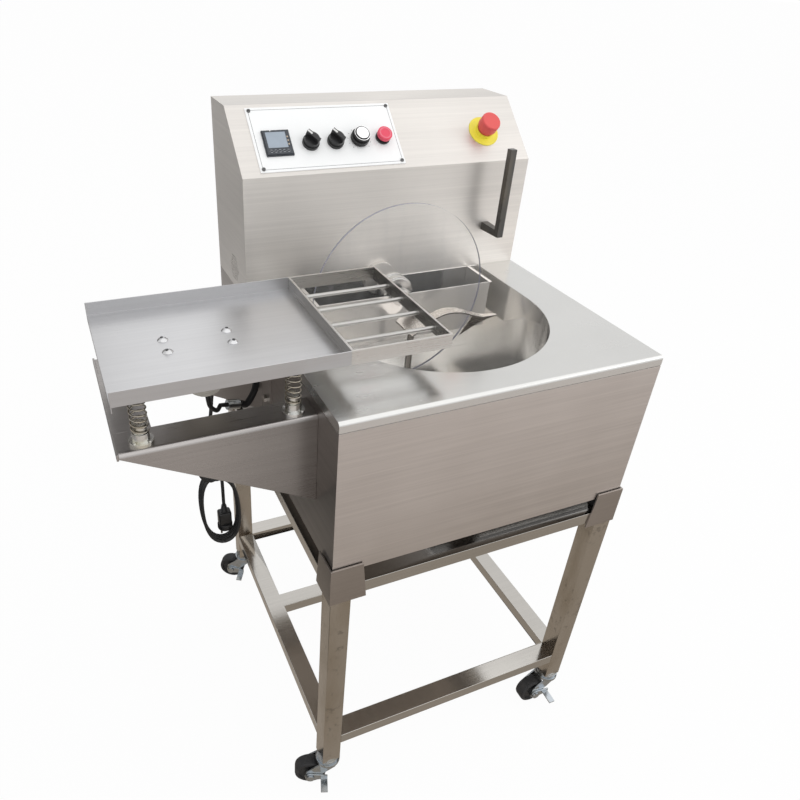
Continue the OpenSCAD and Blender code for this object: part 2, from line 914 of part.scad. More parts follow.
module case_screws() {
    color("lightgray")
        datum() {
            for (x = [cp_x0 + 6, cp_x1 - 6], v = [cp_v0 + 6, cp_v0 + cp_h - 6])
                on_slope(x, v)
                    translate([0, 0, sheet])
                        screw(3.2, 1.6, 1.6, sheet - 0.02);
            for (p = cover_points())
                translate([p[0], hous_d, p[1]])
                    rotate([-90, 0, 0])
                        screw(4, 2, 2, sheet - 0.02);
        }
}

module gear_motor() {
    y0 = sheet + brack_t;
    color("slategray")
        datum()
            translate([wheel_x, 0, hub_ax_z])
                difference() {
                    union() {
                        bx([-gear_s, y0, -gear_s], [gear_s, y0 + gear_l, gear_s]);
                        translate([0, y0 + gear_l / 2, gear_s])
                            cylinder(r = drive_r, h = drive_l);
                        translate([0, y0 + gear_l / 2, gear_s + drive_l])
                            cylinder(r = drive_r - 3, h = 6);
                    }
                    cyl_y(boss_r + 1, y0 - 1, boss_l + 2);
                    cyl_y(shaft_r + run, y0, y0 + shaft_in);
                }
}

module motor_bracket() {
    color("gray")
        datum()
            difference() {
                bx([wheel_x - brack_s, sheet, hub_ax_z - brack_s],
                    [wheel_x + brack_s, sheet + brack_t, hub_ax_z + brack_s]);
                translate([wheel_x, 0, hub_ax_z])
                    cyl_y(boss_r + fit, 0, sheet + brack_t + 1);
            }
}

module shaft_bearing() {
    color("gainsboro")
        datum()
            translate([wheel_x, 0, hub_ax_z])
                difference() {
                    union() {
                        cyl_y(bear_r, -bear_t, 0);
                        cyl_y(boss_r, -1, boss_l);
                    }
                    cyl_y(shaft_r + run, -bear_t - 1, boss_l + 1);
                }
}

module bar_bush() {
    color("dimgray")
        datum()
            translate([bar_x, 0, deck_z + bar_z])
                difference() {
                    union() {
                        cyl_y(bush_r, 0, bush_l);
                        cyl_y(bush_r + 4, sheet, 8);
                    }
                    cyl_y(pivot_r + run, -1, bush_l + 1);
                }
}

// Control panel

module control_plate() {
    color("white")
        datum()
            difference() {
                on_slope(0, 0)
                    bx([cp_x0, cp_v0, 0], [cp_x1, cp_v0 + cp_h, sheet]);
                slope_holes(6);
                for (x = [cp_x0 + 6, cp_x1 - 6], v = [cp_v0 + 6, cp_v0 + cp_h - 6])
                    on_slope(x, v)
                        cylinder(r = 1.6 + fit, h = 9, center = true, $fn = 24);
            }
}

module controller_case() {
    s = ctl_s / 2;
    b = s - 1.5 - fit;
    color("darkslategray")
        datum()
            on_slope(ctl_x, row_v)
                difference() {
                    union() {
                        bx([-s, -s, sheet], [s, s, sheet + 3]);
                        bx([1.5 - s, 1.5 - s, sheet], [s - 1.5, s - 1.5, sheet + 5]);
                        bx([-b, -b, -58], [b, b, sheet + 1]);
                    }
                    ctl_face(0, 3, 9);
                    for (i = [-2:2])
                        translate([i * key_step, key_v, sheet + 4.2])
                            cylinder(r = key_r, h = 2, $fn = 24);
                    for (v = [-6, 1, 8])
                        bx([s - 7, v, sheet + 4.4], [s - 4, v + 3, sheet + 6]);
                }
}

// The controller's window, shrunk by d, between two heights over the plate
module ctl_face(d, z0, z1) {
    bx([d - win_w, d + win_v, sheet + z0], [win_w - 2 - d, win_v + win_h - d, sheet + z1]);
}

module controller_window() {
    color("lightsteelblue")
        datum()
            on_slope(ctl_x, row_v)
                ctl_face(fit, 3, 4.6);
}

// One panel device: bezel above the plate, body and nut behind it
module device(r, top, bore, deep) {
    difference() {
        union() {
            translate([0, 0, sheet])
                cylinder(r = r, h = top);
            translate([0, 0, -dev_l])
                cylinder(r = dev_r, h = dev_l + sheet + 0.5);
            translate([0, 0, -sheet - 5])
                cylinder(r = 14, h = 5, $fn = 6);
        }
        translate([0, 0, sheet + top - deep])
            cylinder(r = bore, h = deep + 1);
    }
}

module operator_bezels() {
    color("dimgray")
        datum() {
            for (x = [sel1_x, sel2_x])
                on_slope(x, sel_v)
                    device(bezel_r, dev_h, 4 + run, 22);
            on_slope(dial_x, row_v)
                device(bezel_r, 2, 3 + run, 16);
            on_slope(red_x, row_v)
                union() {
                    device(dev_r, red_h, 4 + run, 34);
                    translate([0, 0, sheet])
                        difference() {
                            cylinder(r = bezel_r - 1.5, h = red_h - red_travel - gap);
                            translate([0, 0, -1])
                                cylinder(r = dev_r - 1, h = red_h);
                        }
                }
            on_slope(stop_x, stop_v)
                device(dev_r + 3, 1, 10 + run, 30);
        }
}

// Yellow disc with the collar that the red neck dips into
module estop_disc() {
    color("gold")
        datum()
            on_slope(stop_x, stop_v)
                difference() {
                    union() {
                        cylinder(r = stop_disc_r, h = sheet);
                        cylinder(r = neck_out + gap + 2, h = sheet + stop_rise + 0.5);
                    }
                    translate([0, 0, -1])
                        cylinder(r = dev_r + fit, h = 9);
                    translate([0, 0, sheet])
                        cylinder(r = neck_out + gap, h = 20);
                }
}

// Round knob with a straight handle across it
module selector(x) {
    z0 = sheet + dev_h + gap;
    color("black")
        datum()
            on_slope(x, sel_v)
                rotate([0, 0, sel_turn])
                    difference() {
                        union() {
                            translate([0, 0, z0 - 20])
                                cylinder(r = 4, h = 21);
                            translate([0, 0, z0])
                                cylinder(r = knob_r, h = 8);
                            intersection() {
                                translate([0, 0, z0 + 7])
                                    cylinder(r = knob_r, h = 15);
                                bx([-3.5, -knob_r, z0 + 7], [3.5, knob_r, z0 + 17.5]);
                            }
                        }
                        bx([-2, 3, z0 + 17], [2, knob_r, z0 + 19]);
                    }
}

module selector_left() {
    selector(sel1_x);
}

module selector_right() {
    selector(sel2_x);
}

// Fluted skirt, smooth crown and a raised cap
module dial_knob() {
    z0 = sheet + 2 + gap;
    color("black")
        datum()
            on_slope(dial_x, row_v) {
                translate([0, 0, z0 - 14])
                    cylinder(r = 3, h = 15);
                difference() {
                    translate([0, 0, z0])
                        cylinder(r = skirt_r, h = 8);
                    for (i = [0:23])
                        rotate([0, 0, 15 * i])
                            translate([skirt_r + 0.6, 0, z0 + 1.5])
                                cylinder(r = 1.3, h = 8, $fn = 16);
                }
                translate([0, 0, z0 + 7])
                    cylinder(r = skirt_r - 2.5, h = 9);
                translate([0, 0, z0 + 15])
                    cylinder(r = skirt_r - 5, h = 2.3);
            }
}

module red_button() {
    z0 = sheet + red_h;
    color("red")
        datum()
            on_slope(red_x, row_v) {
                translate([0, 0, z0 + gap - 20])
                    cylinder(r = 4, h = 21 + red_travel);
                difference() {
                    translate([0, 0, z0])
                        cylinder(r = bezel_r - 1.5, h = 7.5);
                    translate([0, 0, z0 - 1])
                        cylinder(r = dev_r + gap, h = 1 + red_travel + gap);
                }
            }
}

module estop_head() {
    z0 = sheet + stop_rise;
    z1 = sheet + 12;
    z2 = sheet + 32;
    color("red")
        datum()
            on_slope(stop_x, stop_v) {
                translate([0, 0, z0 - 22])
                    cylinder(r = 10, h = 24);
                rotate_extrude()
                    polygon([[0, z0], [neck_out, z0], [neck_out, z1], [stop_r - 1.5, z1], [stop_r, z1 + 2],
                        [stop_r, z2 - 3], [stop_r - 0.8, z2 - 1], [stop_r - 2.5, z2], [stop_r - 5, z2],
                        [stop_r - 8, z2 - 0.8], [0, z2 - 0.8]]);
            }
}

// Wheel and bar

module wheel_disc() {
    color([0.85, 0.92, 0.95, 0.5])
        datum()
            translate([wheel_x, 0, hub_ax_z])
                difference() {
                    translate([0, -wheel_y + wheel_t, 0])
                        rotate([90, 0, 0])
                            cylinder(r = wheel_r, h = wheel_t, $fn = 120);
                    cyl_y(shaft_r + fit, -wheel_y - 1, wheel_t + 1 - wheel_y);
                }
}

module wheel_hub() {
    color("lightgray")
        datum()
            translate([wheel_x, 0, hub_ax_z]) {
                cyl_y(shaft_r, -wheel_y - 10, sheet + shaft_in);
                cyl_y(neck_r, wheel_t - wheel_y, 1 - drum_y);
                cyl_y(shaft_r + 7, -wheel_y - 3, -wheel_y);
                cyl_y(shaft_r + 3.5, -wheel_y - 7.5, -wheel_y - 2.5);
                cyl_y(hub_r - 2.5, -drum_y, hub_l - drum_y);
                cyl_y(hub_r, -drum_y + 3.5, -drum_y + 11);
                cyl_y(hub_r, hub_l - drum_y - 7.5, hub_l - drum_y);
            }
}

module hub_bolts() {
    color("silver")
        datum()
            translate([wheel_x, -drum_y, hub_ax_z])
                for (a = [0, 120, 240])
                    rotate([0, -a, 0])
                        translate([hub_r - 11, 0, 0])
                            rotate([90, 0, 0])
                                cylinder(r = 4, h = 2, $fn = 24);
}

module l_bar() {
    s = bar_s / 2;
    color("darkslategray")
        datum()
            translate([bar_x, 0, deck_z + bar_z]) {
                cyl_y(pivot_r, -1, bush_l + 6);
                bx([-s, -bar_fwd, -s], [s, -gap, s]);
                bx([-s, -bar_fwd, -s], [s, bar_s - bar_fwd, bar_up]);
                cyl_y(pivot_r + 4, bush_l + gap, bush_l + 5);
            }
}

// Vibrating table

function arm_holes() = [for (y = [hole_in - arm_front, -arm_back - hole_in], z = hole_z) [y, z]];

module arm_web() {
    polygon([[arm_x0, arm_z], [arm_x0, arm_z - arm_tip], [-half_w, arm_z - arm_h], [-half_w, arm_z]]);
}

// The arm's section: top flange, round fold, front web
module arm_body() {
    t = sheet * 2;
    difference() {
        intersection() {
            along_x(arm_x0, -half_w)
                union() {
                    translate([0, arm_z - arm_h])
                        square([arm_w, arm_h - arm_r]);
                    translate([arm_r, arm_z - arm_r])
                        square([arm_w - arm_r, arm_r]);
                    translate([arm_r, arm_z - arm_r])
                        circle(r = arm_r);
                }
            along_y(-1, arm_w + 1)
                arm_web();
        }
        translate([0, t, -t])
            along_x(arm_x0 - 1, -half_w - t)
                union() {
                    translate([0, arm_z - arm_h - 9])
                        square([arm_w, arm_h + 9 - arm_r]);
                    translate([arm_r - t, arm_z - arm_r])
                        square([arm_w, arm_r]);
                    translate([arm_r - t, arm_z - arm_r])
                        circle(r = arm_r - t);
                }
        for (z = hole_z)
            translate([-half_w, hole_in, z])
                cyl_x(bolt_r + fit, -t - 1, 1);
    }
}

module front_arm() {
    color("silver")
        datum()
            translate([0, -arm_front, 0])
                arm_body();
}

module rear_arm() {
    color("silver")
        datum()
            translate([0, -arm_back, 0])
                mirror([0, 1, 0])
                    arm_body();
}

module arm_strip() {
    color("silver")
        datum()
            union() {
                bx([left_end, -arm_front, arm_z - arm_tip - 2], [arm_x0, -arm_back, arm_z]);
                bx([left_end, arm_w - arm_front, arm_z - 2 * sheet],
                    [arm_x0 + arm_w, -arm_back - arm_w, arm_z]);
            }
}

module arm_bolts() {
    color("lightgray")
        datum()
            for (p = arm_holes())
                translate([-half_w - 2 * sheet, p[0], p[1]])
                    rotate([0, -90, 0]) {
                        hex_bolt(hex_r, hex_h, bolt_r, 3 * sheet);
                        translate([0, 0, -3 * sheet - hex_h])
                            cylinder(r = hex_r, h = hex_h, $fn = 6);
                    }
}

module spring_seats() {
    color("gray")
        datum()
            for (x = spring_x, y = spring_y)
                translate([x, y, arm_z]) {
                    cylinder(r = seat_r, h = 5);
                    cylinder(r = spring_r - 0.2, h = seat_h);
                    cylinder(r = pin_r, h = seat_h + 14);
                    for (k = [0:3])
                        rotate([0, 0, 45 + k * 90])
                            translate([seat_r - 2.3, 0, 4.5])
                                cylinder(r = 1.8, h = 2, $fn = 16);
                }
}

module tray_pan() {
    color("gainsboro")
        datum()
            difference() {
                union() {
                    bx([tray_x0, -tray_front, tray_bot], [cross_x, -tray_back, tray_top]);
                    bx([tray_x0, -tray_front, tray_bot], [cross_x, sheet - tray_front, lip_top]);
                    bx([tray_x0, -tray_back - sheet, tray_bot], [cross_x, -tray_back, lip_top]);
                    bx([tray_x0, -tray_front, tray_top - tray_drop], [tray_x0 + sheet, -tray_back, tray_top]);
                    for (x = spring_x, y = spring_y)
                        translate([x, y, tray_bot - 12])
                            cylinder(r = pin_r, h = 12.5);
                }
                for (i = [-1, 1], j = [-1, 1])
                    translate([motor_x + i * vib_bx / 2, motor_y + j * vib_by / 2, tray_bot - 1])
                        cylinder(r = bolt_r + fit, h = 9);
            }
}

module grille() {
    z0 = tray_bot;
    color("lightgray")
        datum() {
            bx([cross_x, -tray_front, z0], [cross_x + bar_t, -tray_back, lip_top]);
            bx([grille_x - bar_t, -tray_front, z0], [grille_x, -tray_back, lip_top]);
            bx([cross_x, -tray_front, z0], [grille_x, bar_t - tray_front, lip_top]);
            bx([cross_x, -tray_back - bar_t, z0], [grille_x, -tray_back, lip_top]);
            bx([cross_x, -tray_front, z0], [cross_x + 17, -tray_back, z0 + sheet]);
            for (i = [0:3])
                translate([0, -tray_back - rod_first - i * rod_pitch, rod_z])
                    cyl_x(rod_r, cross_x + bar_t / 2, grille_x - bar_t / 2, $fn = 24);
        }
}

function coil(x, y, z0, z1) = let (r = spring_r - wire_r, w = 2 * wire_r, n = round(spring_turns * 8),
    rise = (z1 - z0 - 2 * w) / n)
    concat([[x + r, y, z0]],
        [for (i = [0:n]) let (a = 45 * i) [x + r * cos(a), y + r * sin(a), z0 + w + rise * i]],
        [[x + r * cos(45 * n), y + r * sin(45 * n), z1]]);

module springs() {
    echo(spring_self_gap = self_gap(coil(0, 0, seat_top, tray_bot), wire_r, 5));
    color("silver")
        datum()
            for (x = spring_x, y = spring_y)
                sweep(coil(x, y, seat_top, tray_bot), wire_r, 6, [1, 0, 0]);
}

module vibration_motor() {
    z1 = tray_bot - motor_z;
    h = vib_l / 2;
    color("beige")
        datum()
            translate([motor_x, motor_y, motor_z])
                difference() {
                    union() {
                        rotate([90, 0, 0])
                            rotate_extrude($fn = 64)
                                polygon([[0, -h], [vib_r - 17, -h], [vib_r - 6, 5 - h], [vib_r - 2, 13.5 - h],
                                    [vib_r - 2, 22 - h], [vib_r, 23 - h], [vib_r, h - 23],
                                    [vib_r - 2, h - 22], [vib_r - 2, h - 13.5], [vib_r - 6, h - 5],
                                    [vib_r - 17, h], [0, h]]);
                        bx([-vib_bx / 2 - 12, -vib_by / 2 - 13, z1 - foot_t],
                            [vib_bx / 2 + 12, vib_by / 2 + 13, z1]);
                        for (s = [-1, 1])
                            bx([s * 24 - 6, -27, 0], [s * 24 + 6, 27, z1 - 1]);
                        translate([lead_x, lead_y, -vib_r - 3])
                            cylinder(r = lead_r + 3, h = 16);
                    }
                    for (i = [-1, 1], j = [-1, 1])
                        translate([i * vib_bx / 2, j * vib_by / 2, z1 - foot_t - 1])
                            cylinder(r = bolt_r + fit, h = foot_t + 2);
                    translate([lead_x, lead_y, -vib_r - 4])
                        cylinder(r = lead_r + 0.6, h = 18);
                }
}

module tray_bolts() {
    color("lightgray")
        datum()
            for (i = [-1, 1], j = [-1, 1])
                translate([motor_x + i * vib_bx / 2, motor_y + j * vib_by / 2, tray_top]) {
                    pan_bolt(pan_r, pan_h, bolt_r, sheet + foot_t);
                    translate([0, 0, -sheet - foot_t - hex_h])
                        cylinder(r = hex_r, h = hex_h, $fn = 6);
                }
}

// Cables

module cable_glands() {
    color("silver")
        datum() {
            sweep([coup_a, coup_a + 0.3 * (coup_b - coup_a), coup_b], coup_r, 12, [0, 0, 1]);
            translate(port)
                union() {
                    cyl_x(pipe_r + 3.4, -port_l, 10);
                    cyl_x(pipe_r + 7, -6, 0);
                }
            translate(cord_port)
                union() {
                    cyl_x(cord_r + 3.9, -gland_l, 10);
                    cyl_x(cord_r + 8, -7, 0);
                }
        }
}

// Each cable starts and ends straight, just clear of the gland that holds it
function lead_path() = concat(smooth([lead_out + [0, 0, 7], lead_out, lead_out - [0, 0, 10],
    lead_out + [3.5, 2.5, -27], lead_out + [14.5, 11, -41.5], coup_a - 11 * coup_u], 4),
    [coup_a - 4 * coup_u, coup_a - gap * coup_u]);

function pipe_path() = concat([coup_b + gap * coup_u], smooth([coup_b + 5 * coup_u, coup_b + 14 * coup_u,
    port - [49, 34, 19.5], port - [36.5, 12, 3.5], port - [24, 0, 0], port - [port_l + 4, 0, 0]], 4),
    [port - [port_l + gap, 0, 0]]);

module motor_lead() {
    color("dimgray")
        datum() {
            sweep(lead_path(), lead_r, 8, [1, 0, 0]);
            sweep(pipe_path(), pipe_r, 8, [0, 0, 1]);
        }
}

// One point of the hank, a in degrees along its loops
function hank_at(a) = let (full = 1 + hank_full * cos(a) * cos(a), lean = hank_lean * (1 - cos(a)) / 2)
    hank_c + [hank_w * full * sin(a) + lean, hank_step * a / 360, hank_h * cos(a)];

function hank_path() = let (w = 2 * cord_r)
    concat([hank_at(0) - [w, 0, 0]], [for (a = [0:15:360 * hank_n]) hank_at(a)],
        [hank_at(360 * hank_n) + [w, 0, 0]]);

function cord_in() = let (e = hank_at(0) - [2 * cord_r, 0, 0])
    concat([cord_port - [gland_l + gap, 0, 0]], smooth([cord_port - [gland_l + 5, 0, 0],
        cord_port - [gland_l + 14, 0, 0], cord_port - [51, 0, 27],
        [hank_c[0] - 7, hank_c[1] + 2, cord_port[2] - 98], e + [-30, 1, 60], e + [-27, 0, 17],
        e - [9, 0, 0], e], 4));

function cord_out() = let (e = hank_at(360 * hank_n) + [2 * cord_r, 0, 0])
    concat(smooth([e, e + [6, 0, 0], [plug_top[0] - 1, plug_top[1], e[2] - 16], plug_top + [0, 0, 56],
        plug_top + [0, 0, 32], plug_top + [0, 0, 10]], 5), [plug_top + [0, 0, gap]]);

module power_cord() {
    echo(hank_self_gap = self_gap(hank_path(), cord_r, 8));
    color("dimgray")
        datum() {
            sweep(cord_in(), cord_r, 8, [0, 1, 0]);
            sweep(hank_path(), cord_r, 6, [0, 1, 0]);
            sweep(cord_out(), cord_r, 8, [0, 1, 0]);
        }
}

module power_plug() {
    color("dimgray")
        datum()
            translate(plug_top - [0, 0, plug_l]) {
                translate([0, 0, plug_l - 22])
                    cylinder(r1 = 9, r2 = cord_r + 1.5, h = 22);
                translate([-13, -10, 14])
                    cube([26, 20, plug_l - 34]);
                cylinder(r = 18, h = 16);
                for (s = [-1, 1])
                    translate([s * 9.5, 0, -19])
                        cylinder(r = 2.4, h = 20, $fn = 24);
            }
}

module fork_fl() {
    fork(0);
}

module fork_fr() {
    fork(1);
}

module fork_bl() {
    fork(2);
}

module fork_br() {
    fork(3);
}

module roll_fl() {
    roll(0);
}

module roll_fr() {
    roll(1);
}

module roll_bl() {
    roll(2);
}

module roll_br() {
    roll(3);
}

module brake_fl() {
    brake(0);
}

module brake_fr() {
    brake(1);
}

module brake_bl() {
    brake(2);
}

module brake_br() {
    brake(3);
}

stand_legs();
stand_rails();
corner_plates();
rubber_feet();
caster_heads();
cabinet_shell();
bottom_plate();
top_deck();
tank();
hub_box();
heater_mats();
tank_probe();
housing_shell();
back_cover();
case_screws();
control_plate();
controller_case();
controller_window();
operator_bezels();
estop_disc();
gear_motor();
motor_bracket();
shaft_bearing();
bar_bush();
front_arm();
rear_arm();
arm_strip();
arm_bolts();
spring_seats();
cable_glands();
motor_lead();
scraper();
wheel_disc();
wheel_hub();
hub_bolts();
l_bar();
tray_pan();
grille();
springs();
vibration_motor();
tray_bolts();
selector_left();
selector_right();
dial_knob();
red_button();
estop_head();
fork_fl();
fork_fr();
fork_bl();
fork_br();
roll_fl();
roll_fr();
roll_bl();
roll_br();
brake_fl();
brake_fr();
brake_bl();
brake_br();
power_cord();
power_plug();
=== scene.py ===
import json
from math import cos, pi, radians, sin

import bmesh
import bpy
from mathutils import Matrix, Vector


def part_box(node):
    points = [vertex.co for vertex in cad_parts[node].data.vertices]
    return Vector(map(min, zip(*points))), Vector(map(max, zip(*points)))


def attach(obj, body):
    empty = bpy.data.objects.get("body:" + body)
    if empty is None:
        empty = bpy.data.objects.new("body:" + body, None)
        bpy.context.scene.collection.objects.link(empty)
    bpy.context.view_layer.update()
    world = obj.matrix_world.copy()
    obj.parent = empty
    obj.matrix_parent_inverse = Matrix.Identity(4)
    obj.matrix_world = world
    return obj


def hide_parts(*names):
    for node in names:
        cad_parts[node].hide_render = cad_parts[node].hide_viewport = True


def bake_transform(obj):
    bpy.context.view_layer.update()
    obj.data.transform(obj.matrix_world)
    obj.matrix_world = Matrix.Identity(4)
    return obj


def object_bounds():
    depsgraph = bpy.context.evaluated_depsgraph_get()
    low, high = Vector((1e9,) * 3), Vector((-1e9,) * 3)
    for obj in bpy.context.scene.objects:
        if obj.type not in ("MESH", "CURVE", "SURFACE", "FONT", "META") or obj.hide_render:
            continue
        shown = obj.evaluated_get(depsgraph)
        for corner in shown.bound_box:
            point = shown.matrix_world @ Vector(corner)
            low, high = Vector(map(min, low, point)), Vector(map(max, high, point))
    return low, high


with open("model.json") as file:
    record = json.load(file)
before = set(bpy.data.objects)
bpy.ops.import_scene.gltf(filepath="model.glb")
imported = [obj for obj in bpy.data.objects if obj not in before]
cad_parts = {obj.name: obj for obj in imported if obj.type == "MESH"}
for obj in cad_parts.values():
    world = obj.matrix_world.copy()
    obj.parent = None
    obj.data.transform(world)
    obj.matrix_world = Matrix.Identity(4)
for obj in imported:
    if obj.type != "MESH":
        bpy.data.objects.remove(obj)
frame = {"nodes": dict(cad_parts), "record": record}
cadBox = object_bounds()
nodes = frame["nodes"]
bodyOf = {node: body for body, members in frame["record"]["behaviour"]["bodies"].items() for node in members}
scene = bpy.context.scene
deckLow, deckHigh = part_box("top_deck")
datum = Vector(((deckLow.x + deckHigh.x) / 2, deckHigh.y, deckHigh.z))  # deck top, at the housing's foot


def at(x, y, z):  # millimetres from the datum
    return datum + Vector((x, y, z)) / 1000


print("frame loaded,", len(nodes), "nodes")

# camera

photoView = dict(place=(-586.34, -1101.76, 520.17), right=(0.9201, -0.3896, 0.0410),
                 up=(0.1811, 0.5160, 0.8373), back=(-0.3473, -0.7629, 0.5453), focal=691.384,
                 middle=(341.79, 400.29), picture=800, sensor=36, clip=(0.02, 60))


def setCamera(plan):
    lens = bpy.data.cameras.new("photoCamera")
    lens.sensor_width = plan["sensor"]
    lens.lens = plan["focal"] / plan["picture"] * plan["sensor"]
    lens.shift_x = 0.5 - plan["middle"][0] / plan["picture"]
    lens.shift_y = plan["middle"][1] / plan["picture"] - 0.5
    lens.clip_start, lens.clip_end = plan["clip"]
    camera = bpy.data.objects.new("photoCamera", lens)
    scene.collection.objects.link(camera)
    turn = Matrix((plan["right"], plan["up"], plan["back"])).transposed()
    camera.matrix_world = Matrix.Translation(at(*plan["place"])) @ turn.to_4x4()
    scene.camera = camera


setCamera(photoView)

# node graphs: shader maths and geometry trees share these


class Wire:
    def __init__(self, graph, socket):
        self.graph, self.socket = graph, socket

    def calc(self, operation, a, b=0.0):
        return self.graph.make("ShaderNodeMath", dict(operation=operation), {0: a, 1: b})

    def __add__(self, other):
        return self.calc("ADD", self, other)

    def __sub__(self, other):
        return self.calc("SUBTRACT", self, other)

    def __rsub__(self, other):
        return self.calc("SUBTRACT", other, self)

    def __mul__(self, other):
        return self.calc("MULTIPLY", self, other)

    def __gt__(self, other):
        return self.calc("GREATER_THAN", self, other)

    def __lt__(self, other):
        return self.calc("LESS_THAN", self, other)

    def __abs__(self):
        return self.calc("ABSOLUTE", self)

    __radd__ = __add__
    __rmul__ = __mul__


class Graph:
    def make(self, kind, settings=None, sockets=None, out=0):
        node = self.tree.nodes.new(kind)
        for key, value in (settings or {}).items():
            setattr(node, key, value)
        for key, value in (sockets or {}).items():
            if isinstance(value, Wire):
                self.tree.links.new(value.socket, node.inputs[key])
            else:
                node.inputs[key].default_value = value
        return Wire(self, node.outputs[out])


class Finish(Graph):
    def __init__(self, name, **fixed):
        self.material = bpy.data.materials.new(name)
        self.material.use_nodes = True
        self.tree = self.material.node_tree
        self.tree.nodes.clear()
        self.shader = self.tree.nodes.new("ShaderNodeBsdfPrincipled")
        end = self.tree.nodes.new("ShaderNodeOutputMaterial")
        self.tree.links.new(self.shader.outputs[0], end.inputs[0])
        for key, value in fixed.items():
            self.shader.inputs[key.replace("_", " ")].default_value = value
        self.place = self.make("ShaderNodeTexCoord", out=3)

    def feed(self, **sockets):
        for key, value in sockets.items():
            self.tree.links.new(value.socket, self.shader.inputs[key.replace("_", " ")])
        return self.material

    def noise(self, scale, detail=3, where=None, rough=0.55):
        return self.make("ShaderNodeTexNoise", None, {"Vector": where or self.place, "Scale": scale,
                                                      "Detail": detail, "Roughness": rough})

    def stretched(self, scale):
        return self.make("ShaderNodeMapping", None, {"Vector": self.place, "Scale": scale})

    def along(self, axis):  # how far along one axis, in metres
        return self.make("ShaderNodeSeparateXYZ", None, {0: self.place}, out=axis)

    def within(self, axis, low, high):
        return (self.along(axis) > low) * (self.along(axis) < high)

    def normal(self, axis):
        face = self.make("ShaderNodeNewGeometry", out=1)
        return self.make("ShaderNodeSeparateXYZ", None, {0: face}, out=axis)

    def facing(self, axis):  # size of the normal along one axis
        return abs(self.normal(axis))

    def lit(self, tone, level):
        return self.make("ShaderNodeVectorMath", dict(operation="SCALE"), {0: tone, "Scale": level})

    def blend(self, mask, a, b):
        pick = {0: mask}
        for key, tone in ((6, a), (7, b)):
            pick[key] = tone if isinstance(tone, Wire) else (*tone, 1)
        return self.make("ShaderNodeMix", dict(data_type="RGBA"), pick, out=2)

    def fade(self, value, low, high):  # 0 below low, 1 above high
        return self.make("ShaderNodeMapRange", dict(interpolation_type="SMOOTHSTEP"),
                         {"Value": value, "From Min": low, "From Max": high})

    def bump(self, value, depth, strength=0.5):  # depth in millimetres
        return self.make("ShaderNodeBump", None,
                         {"Strength": strength, "Distance": depth / 1000, "Height": value})


# finishes


def brushedSteel(name, tone, rough, streak=0.16, cloud=0.16, spread=0.0, sideShadeLevel=1.0, shade=None, metal=1.0):
    f = Finish(name, Metallic=metal, Anisotropic=spread, Anisotropic_Rotation=0.25)
    side = f.facing(0) > 0.7
    alongX, alongY = f.stretched((7, 700, 700)), f.stretched((700, 7, 700))
    grain = f.make("ShaderNodeMix", dict(data_type="VECTOR"), {0: side, 4: alongX, 5: alongY}, out=1)
    wide = f.make("ShaderNodeVectorMath", dict(operation="SCALE"), {0: grain, "Scale": 0.24})
    fine = f.noise(1, 3, grain, 0.7)
    broad = f.noise(1, 2, wide, 0.6)
    haze = f.noise(6, 4)
    # painted shade: faces along X take the side level, darker where it is below 1
    level = 1 + (fine - 0.5) * streak + (broad - 0.5) * streak + (haze - 0.5) * cloud + side * (sideShadeLevel - 1)
    gloss = rough + (fine - 0.5) * 0.16 + (haze - 0.5) * 0.14
    # painted shade or light from the place's shade function
    if shade:
        level = level * (1 - shade(f))
    return f.feed(Base_Color=f.lit(tone, level), Roughness=gloss, Normal=f.bump(fine, 0.03, 0.35))


def mirrorSteel(name, tone, rough, wave, cloud=0.1, shade=None, metal=1.0):
    f = Finish(name, Metallic=metal)
    haze = f.noise(9, 4)
    smear = f.fade(f.noise(1, 3, f.stretched((14, 40, 30))), 0.45, 0.75)
    scratch = f.fade(f.noise(1, 2, f.stretched((10, 1100, 1100)), 0.6), 0.62, 0.8)
    level = 1 + (haze - 0.5) * cloud
    # painted shade from the place's shade function
    if shade:
        level = level * (1 - shade(f))
    gloss = rough + smear * 0.07 + scratch * 0.06
    sway = f.noise(5, 1)
    return f.feed(Base_Color=f.lit(tone, level), Roughness=gloss, Normal=f.bump(sway, wave, 0.5))


def tubeSteel(name, pale, brown, rough):
    f = Finish(name, Metallic=1.0)
    patch = f.fade(f.noise(1, 4, f.stretched((16, 16, 5))), 0.4, 0.75)
    fine = f.noise(1, 3, f.stretched((900, 900, 30)), 0.7)
    tone = f.blend(patch * 0.85, pale, brown)
    spots = f.fade(f.noise(90, 4), 0.56, 0.7) * f.fade(f.noise(9, 2), 0.4, 0.6)  # grime
    level = 0.92 + fine * 0.16 - spots * 0.3
    gloss = rough + (fine - 0.5) * 0.12 + patch * 0.06
    return f.feed(Base_Color=f.lit(tone, level), Roughness=gloss, Normal=f.bump(f.noise(30, 2), 0.2, 0.25))


def brightSteel(name, tone, rough, tint=(0.6, 0.58, 0.5)):
    f = Finish(name, Metallic=1.0)
    speck = f.noise(160, 3)
    tone = f.blend(f.fade(f.noise(45, 3), 0.4, 0.8), tone, tint)
    return f.feed(Base_Color=f.lit(tone, 0.88 + speck * 0.24), Roughness=rough + (speck - 0.5) * 0.2,
                  Normal=f.bump(speck, 0.05, 0.3))


def moulded(name, tone, rough, grain=900, depth=0.05, coat=0.0):
    f = Finish(name, Coat_Weight=coat, Coat_Roughness=0.12)
    speck = f.noise(grain, 2)
    dust = f.fade(f.noise(28, 4), 0.5, 0.85)
    return f.feed(Base_Color=f.lit(tone, 0.9 + speck * 0.14 + dust * 0.16),
                  Roughness=rough + (speck - 0.5) * 0.14 + dust * 0.08, Normal=f.bump(speck, depth, 0.4))


